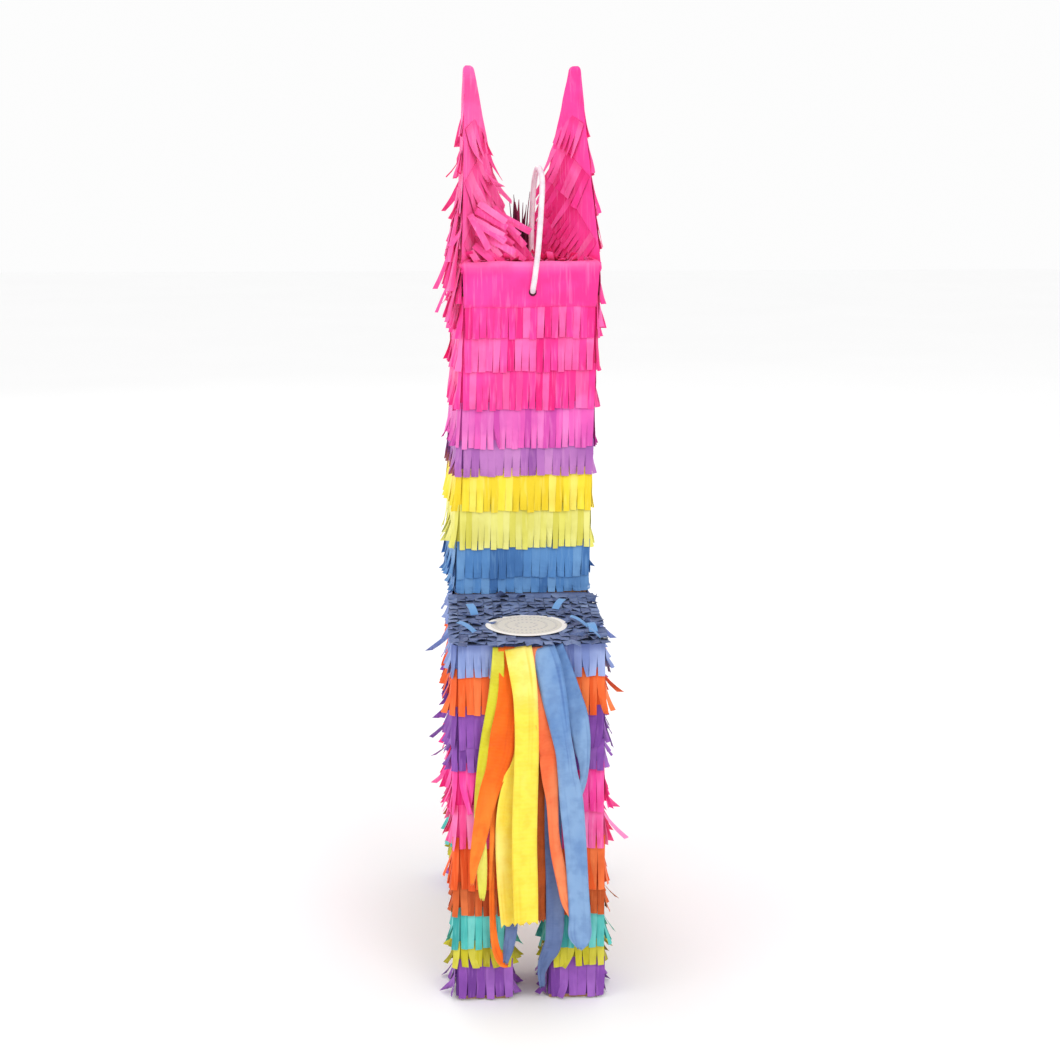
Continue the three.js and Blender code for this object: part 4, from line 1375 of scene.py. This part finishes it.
STREAMERS = (
    # name, dye, body, depth, turn, CAD nodes, keys
    ("strip_orange_long", "orange", "tail_inner", 2.0, 1, ("streamer_orange_inner",),
     [(-11.0, 221.9, 7.4), (-15.5, 168.2, 5.8), (-20.5, 122.6, 4.6), (-21.9, 90.2, 3.6), (-22.3, 76.2, 3.6),
      (-21.8, 52.7, 3.6), (-21.0, 40.8, 4.2), (-19.2, 32.5, 4.9), (-15.8, 26.4, 5.2), (-12.9, 24.9, 3.5)]),
    ("strip_blue_low_left", "shaded_blue", "tail_inner", 2.4, -1, (),
     [(-3, 221.0, 10.5), (-5.5, 187.7, 9), (-7.9, 126.7, 8.0), (-10.4, 76.9, 7.1), (-11.0, 48.4, 7.1),
      (-12.8, 35.7, 6.0), (-14.6, 26.2, 3.0)]),
    ("strip_blue_inner", "shaded_blue", "tail_inner", 2.2, 1, ("streamer_blue_inner",),
     [(5.5, 221.6, 10.7), (13.1, 167.6, 10.0), (13.9, 108.0, 10.0), (14.8, 75.3, 10.4), (15.1, 51.8, 11.0),
      (14.2, 39.9, 10.4), (12.2, 32.8, 10.8), (9.2, 26.9, 8.4), (7.1, 18.6, 5.1), (7.9, 10.2, 3.5)]),
    ("strip_shaded_orange_inner", "shaded_orange", "tail_inner", 3.0, 1, ("streamer_rust_inner",),
     [(3.3, 221.8, 8.5), (4.9, 190.6, 7.5), (6.3, 145.2, 7.3), (7.0, 122.3, 7.3), (6.8, 99.2, 7.0),
      (6.6, 75.8, 6.5), (6.6, 52.3, 6.0)]),
    ("strip_yellow_inner", "yellow", "tail_inner", 4.0, 1, ("streamer_yellow_inner",),
     [(-6.8, 222.2, 11.7), (-4.2, 195, 11.9), (-3.2, 168.5, 12.9), (-4.9, 157.2, 13.4), (-7.2, 145.8, 14.2),
      (-11.1, 123.0, 15.8), (-12.0, 99.9, 16.3), (-11.5, 76.6, 15.4), (-10.3, 50.5, 13.4)]),
    ("strip_lime_outer", "lime", "tail_outer", 4.0, -1, ("streamer_lime_outer",),
     [(-18.0, 222.6, 6.4), (-18.6, 207.0, 7.5), (-19.8, 191.4, 8.5), (-22.2, 178.0, 8.1), (-25.2, 162.2, 7.5),
      (-28.2, 141.8, 6.2), (-29.7, 118.9, 5.8), (-28.4, 95.8, 6.3), (-28.2, 76, 5.1), (-28.4, 67.0, 2.8)]),
    ("strip_orange_wide", "orange", "tail_outer", 6.6, 1, (),
     [(-13.3, 222.9, 9.4), (-13.3, 203.0, 9.0), (-13.3, 191.8, 10.8), (-14.1, 180.6, 12.8),
      (-15.8, 169.4, 14.3), (-16.8, 158.1, 15.0), (-19.4, 146.8, 12.9), (-23.2, 135.4, 11.8),
      (-26.0, 124.0, 10.8), (-28.2, 112.6, 9.9), (-30.4, 101.1, 8.2), (-32.8, 89.5, 5.6),
      (-33.9, 77.8, 2.4)]),
    ("strip_salmon_outer", "salmon", "tail_outer", 7.8, 1, ("streamer_salmon_outer",),
     [(4.5, 223.1, 7.8), (4.7, 203.2, 7.8), (6.3, 187.5, 8.8), (9.0, 169.5, 10.2), (11.0, 155.9, 11.6),
      (11.8, 142.3, 9.7), (13.0, 128.5, 7.2), (13.9, 110.1, 6.4), (15.6, 96.2, 6.8), (19.5, 77.6, 7.4),
      (22.5, 65.8, 7.8), (27.3, 55.1, 5.2)]),
    ("strip_blue_right", "blue", "tail_outer", 5.6, 1, ("streamer_narrow_outer",),
     [(14.9, 222.7, 9.2), (20.2, 206.7, 9.0), (24.6, 191.0, 10.9), (27.6, 179.7, 12.0), (29.7, 168.4, 10.8),
      (30.6, 159.3, 9.5), (31.6, 152.4, 7.0), (31.6, 143.3, 4.9), (30.6, 136.5, 4.5), (29.3, 129.6, 2.4)]),
    ("strip_yellow_outer", "yellow", "tail_outer", 10.0, 1, ("streamer_yellow_outer",),
     [(-6.6, 223.2, 15.7), (-4.6, 208.1, 15.3), (-2.8, 192.5, 14.2), (-2.0, 170.1, 13.9), (-2.3, 147.5, 14.4),
      (-3.0, 124.7, 14.7), (-3.3, 101.7, 14.7), (-2.9, 78.5, 14.9), (-2.4, 53.7, 14.1)]),
    ("strip_blue_outer", "blue", "tail_outer", 10.2, -1, ("streamer_blue_outer",),
     [(7.4, 223.2, 14.0), (10.9, 208.0, 15.2), (13.8, 192.4, 14.6), (17.8, 169.9, 11.5), (20.0, 158.6, 10.7),
      (21.5, 147.2, 11.4), (23.2, 135.8, 13.2), (24.4, 124.4, 13.8), (26.4, 101.3, 12.8), (27.9, 78.1, 12.3),
      (29.1, 57.0, 12.8), (29.1, 47.5, 13.7), (29.2, 41.6, 10.1), (28.9, 37.6, 3.3)]),
)
for order, (name, dye, body, depth, turn, nodes, keys) in enumerate(STREAMERS):
    piece, flat, area = streamer(name, dye, depth, turn, nodes, keys, seed=order * 1.3)

# %% Glue tab of the tail
def tail_tab():
    """The strip of paper that gathers the tops of the streamers."""
    low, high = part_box("tail_tab")
    bm = bmesh.new()
    columns, rows = 24, 8
    grid = []
    for j in range(rows + 1):
        z = low.z + (high.z - low.z) * j / rows
        line = []
        for i in range(columns + 1):
            x = low.x + (high.x - low.x) * i / columns
            line.append(bm.verts.new((x, low.y + wave_at(Vector((x, 0, z)), 0.25, 2) * MM, z)))
        grid.append(line)
    skin(bm, grid)
    # with no along value the material's root shade paints the tab partly in the deep dye: painted shade under
    # the streamers
    paint(bm, shade=0.5)
    piece_of(bm, "tail_tab_paper", TISSUES["lavender"], "shell", ("tail_tab",),
             SHEET_PAPER)


tail_tab()
print("glue tab made")

# %% [markdown]
# ## Board, sticker and plastic
# The shell is corrugated board: a brown liner with faint flutes and specks of pulp. The sticker is
# coated paper with a white rim and a ring of small printed dashes. The cord is milky soft plastic.

# %% Board material
def build_board_group():
    tree, given, result = new_tree(
        "corrugated board", "ShaderNodeTree",
        [("Liner", COLOUR, linear(184, 142, 98)), ("Speck", COLOUR, linear(120, 84, 52)),
         ("Flutes per metre", FLOAT, 420.0)], PAPER_OUTPUTS)
    liner, speck = given.outputs["Liner"], given.outputs["Speck"]
    place = node(tree, "ShaderNodeTexCoord").outputs["Object"]
    specks = blotches(tree, place, 1500, 3)
    cloud = blotches(tree, place, 60, 3)
    parts = node(tree, "ShaderNodeSeparateXYZ", {0: place})
    turns = calc(tree, "MULTIPLY", given.outputs["Flutes per metre"], 6.28)
    flutes = calc(tree, "SINE", calc(tree, "MULTIPLY", parts.outputs[2], turns))
    flutes = calc(tree, "MULTIPLY_ADD", flutes, 0.5, 0.5)
    colour = mixed(tree, ranged(tree, specks, 0.6, 0.75, 0, 0.6), liner, speck)
    colour = mixed(tree, ranged(tree, cloud, 0.4, 0.7, 0, 0.25), colour, speck)
    height = calc(tree, "MULTIPLY_ADD", flutes, 0.4, specks)
    give_out(tree, result, colour, ranged(tree, specks, 0.3, 0.7, 0.75, 0.92), height)
    return tree


BOARD = paper_material("corrugated board", build_board_group(), {}, sheen=0.0)
shown_card = [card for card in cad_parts.values() if not card.hide_render]
for card in shown_card:
    card.data.materials.clear()
    card.data.materials.append(BOARD)
print("board on", len(shown_card), "card pieces")

# %% Sticker
STICKER_RINGS = ((0.2, 0.5), (0.4, 0.49), (0.6, 0.47), (0.78, 0.44), (0.9, 0.4), (0.97, 0.34), (1.0, 0.22),
                 (0.995, 0.1))  # share of the radius, mm of height
PRINTED_RINGS = ((0.74, 46, 0.045), (0.5, 30, 0.045), (0.25, 14, 0.05))  # radius, dashes, half width


def sticker_material():
    material, tree, shader = new_material("sticker paper")
    place = node(tree, "ShaderNodeTexCoord").outputs["Object"]
    centre = -at(STICKER.x, STICKER.y, 0)
    centred = node(tree, "ShaderNodeMapping", {0: place, 1: centre}).outputs[0]
    parts = node(tree, "ShaderNodeSeparateXYZ", {0: centred})
    x, y = parts.outputs[0], parts.outputs[1]
    radius = calc(tree, "SQRT", calc(tree, "ADD", product(tree, x, x), product(tree, y, y)))
    radius = calc(tree, "DIVIDE", radius, STICKER_RADIUS * MM)
    turn = calc(tree, "ARCTAN2", y, x)
    printed = ranged(tree, blotches(tree, place, 900, 2), 0.35, 0.6, 0.4, 1.0)
    marks = 0
    for ring_radius, dashes, half in PRINTED_RINGS:
        off = calc(tree, "ABSOLUTE", calc(tree, "SUBTRACT", radius, ring_radius))
        on_ring = ranged(tree, off, half, half * 0.5, 0, 1)
        dash = ranged(tree, calc(tree, "SINE", product(tree, turn, dashes)), -0.1, 0.3, 0, 1)
        marks = calc(tree, "MAXIMUM", marks, product(tree, on_ring, dash))
    rim = ranged(tree, radius, 0.86, 0.88, 0, 1)
    colour = mixed(tree, rim, linear(214, 212, 204), linear(240, 240, 237))
    colour = mixed(tree, product(tree, marks, printed, 0.55), colour, linear(120, 125, 150))
    grain = blotches(tree, place, 1800, 2)
    dress(tree, shader, colour, ranged(tree, grain, 0.3, 0.7, 0.35, 0.5), grain, 0.1, 0.0003)
    return material


def sticker():
    bm = bmesh.new()
    base = BACK + 0.35
    rows = [[bm.verts.new(at(STICKER.x, STICKER.y, base + 0.5))]]
    for share, rise in STICKER_RINGS:
        line = []
        for i in range(72):
            angle = 2 * math.pi * i / 72
            curl = 0.5 * max(0, share - 0.75) * 4 * max(0, math.sin(angle * 2 + 0.6))
            reach = STICKER_RADIUS * share
            x, y = STICKER.x + reach * math.cos(angle), STICKER.y + reach * math.sin(angle)
            line.append(bm.verts.new(at(x, y, base + rise + curl)))
        rows.append(line)
    rows.append([bm.verts.new(at(STICKER.x, STICKER.y, base))])
    skin(bm, rows, closed=True)
    bmesh.ops.recalc_face_normals(bm, faces=bm.faces)
    material = sticker_material()
    piece_of(bm, "round_sticker", material, "filling_flap", ("fill_sticker",), smooth=True)


sticker()
print(f"sticker {2 * STICKER_RADIUS:.0f} mm across")

# %% Plastic of the cord
def cord_material():
    material, tree, shader = new_material("milky plastic")
    place = node(tree, "ShaderNodeTexCoord").outputs["Object"]
    cloud = blotches(tree, place, 160, 3)
    grain = blotches(tree, place, 1400, 2)
    colour = mixed(tree, ranged(tree, cloud, 0.35, 0.65, 0, 1), linear(224, 216, 222), linear(238, 233, 237))
    dress(tree, shader, colour, ranged(tree, grain, 0.3, 0.7, 0.22, 0.38), cloud, 0.15, 0.0002)
    shader.inputs["Subsurface Weight"].default_value = 0.05
    shader.inputs["Subsurface Scale"].default_value = 0.002
    return material


CORD_PLASTIC = cord_material()
hanging_loop.data.materials.append(CORD_PLASTIC)
KNOT_SIZE = 1.1  # mm for each unit of the knot's formula
KNOT_POINTS = 48


def knot(name, place, cad_node):
    """A small overhand knot: a thick tube along a three-lobed line."""
    curve = bpy.data.curves.new(name, "CURVE")
    curve.dimensions = "3D"
    curve.bevel_depth = 1.1 * MM
    curve.bevel_resolution = 3
    spline = curve.splines.new("POLY")
    spline.points.add(KNOT_POINTS - 1)
    for i, point in enumerate(spline.points):
        t = 2 * math.pi * i / KNOT_POINTS
        lobe = Vector((math.sin(t) + 2 * math.sin(2 * t), math.cos(t) - 2 * math.cos(2 * t),
                       -1.4 * math.sin(3 * t)))
        point.co = (*(place + lobe * KNOT_SIZE * MM), 1)
    spline.use_cyclic_u = True
    curve.materials.append(CORD_PLASTIC)
    tube = bpy.data.objects.new(name, curve)
    bpy.context.scene.collection.objects.link(tube)
    mesh = bpy.data.meshes.new_from_object(tube)
    bpy.data.objects.remove(tube)
    return finish_piece(bpy.data.objects.new(name, mesh), "loop", (cad_node,))


def box_centre(cad_node):
    low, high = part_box(cad_node)
    return (low + high) / 2


rear_knot = knot("knot_rear", box_centre("loop_knot_rear"), "loop_knot_rear")
top_knot = knot("knot_top", box_centre("loop_knot_top"), "loop_knot_top")
finish_piece(hanging_loop, "loop", ("hanging_loop",))
neck_at(*REAR_HOLE)
print("loop and knots ready")

# %% [markdown]
# ## Face
# The eyes and nostrils are small stacked discs of black and white paper, with rounded edges.

# %% Eyes and nostrils
def plain_paper(name, plain, other):
    material, tree, shader = new_material(name)
    fibres = blotches(tree, node(tree, "ShaderNodeTexCoord").outputs["Object"], 1700, 3)
    colour = mixed(tree, ranged(tree, fibres, 0.4, 0.7, 0, 1), linear(*plain), linear(*other))
    dress(tree, shader, colour, ranged(tree, fibres, 0.3, 0.7, 0.45, 0.65), fibres, 0.2, 0.0003)
    return material


BLACK_PAPER = plain_paper("black paper", (26, 24, 27), (48, 45, 50))
WHITE_PAPER = plain_paper("white paper", (240, 238, 232), (252, 251, 248))
DISC_PROFILE = ((0.0, 1.0), (0.55, 1.0), (0.9, 0.98), (0.98, 0.8), (1.0, 0.45), (1.0, 0.0), (0.0, 0.0))


def paper_disc(name, centre, normal, radius, thickness, material, nodes=()):
    """A disc with a rounded edge, its back on centre, facing along normal. Millimetres."""
    face_on = normal.to_track_quat("Z", "Y").to_matrix()
    bm = bmesh.new()
    rings = []
    for share, rise in DISC_PROFILE:
        reach = radius * share
        line = []
        for angle in (2 * math.pi * i / 40 for i in range(40 if share else 1)):
            place = Vector((reach * math.cos(angle), reach * math.sin(angle), rise * thickness))
            line.append(bm.verts.new(centre + face_on @ place * MM))
        rings.append(line)
    skin(bm, rings, closed=True)
    bmesh.ops.recalc_face_normals(bm, faces=bm.faces)
    piece_of(bm, name, material, "shell", nodes)


forward = (neck_at(0, 1, 0) - neck_at(0, 0, 0)).normalized()
for side, sign in (("left", -1), ("right", 1)):
    way = (neck_at(sign, 0, 0) - neck_at(0, 0, 0)).normalized()
    eye = box_centre(f"eye_{side}") + way * 0.6 * MM
    glint = eye + way * 2.1 * MM + (forward * 2 + Vector((0, 0, 2))) * MM
    nostril = box_centre(f"nostril_{side}") + forward * 1.6 * MM
    paper_disc(f"eye_{side}_white", eye, way, 11, 1.2, WHITE_PAPER, (f"eye_{side}",))
    paper_disc(f"eye_{side}_pupil", eye + way * 1.2 * MM, way, 6.5, 0.9, BLACK_PAPER)
    paper_disc(f"eye_{side}_glint", glint, way, 1.8, 0.4, WHITE_PAPER)
    paper_disc(f"nostril_{side}_disc", nostril, forward, 4, 1.0, BLACK_PAPER,
               (f"nostril_{side}",))
print("eyes and nostrils made")

# %% Painted shadow where the cord goes in
# a small dark paper disc stands in for the shadow in the cord's hole: painted shadow
hole_shadow_place = neck_at(REAR_HOLE.x, REAR_HOLE.y - 1.1, REAR_HOLE.z - 0.4)
paper_disc("cord_hole_shadow", hole_shadow_place, -forward, 2.4, 0.5, TISSUES["shadow_pink"])
print("paper puckered at the cord's hole")

# %% Floor material
floor_paint, floor_tree, floor_shader = new_material("pale studio floor")
floor_cloud = blotches(floor_tree, node(floor_tree, "ShaderNodeTexCoord").outputs["Object"], 3, 2)
floor_colour = mixed(floor_tree, floor_cloud, linear(251, 251, 251), linear(254, 254, 254))
connect(floor_tree, floor_colour, floor_shader.inputs["Base Color"])
floor_shader.inputs["Roughness"].default_value = 0.9
floor_mesh.materials.append(floor_paint)
print("floor painted")

# %% [markdown]
# ## Pieces made
# The visual model may stand a little proud of the card model, as paper does.

# %% Finish
print(len(made_pieces), "pieces made")
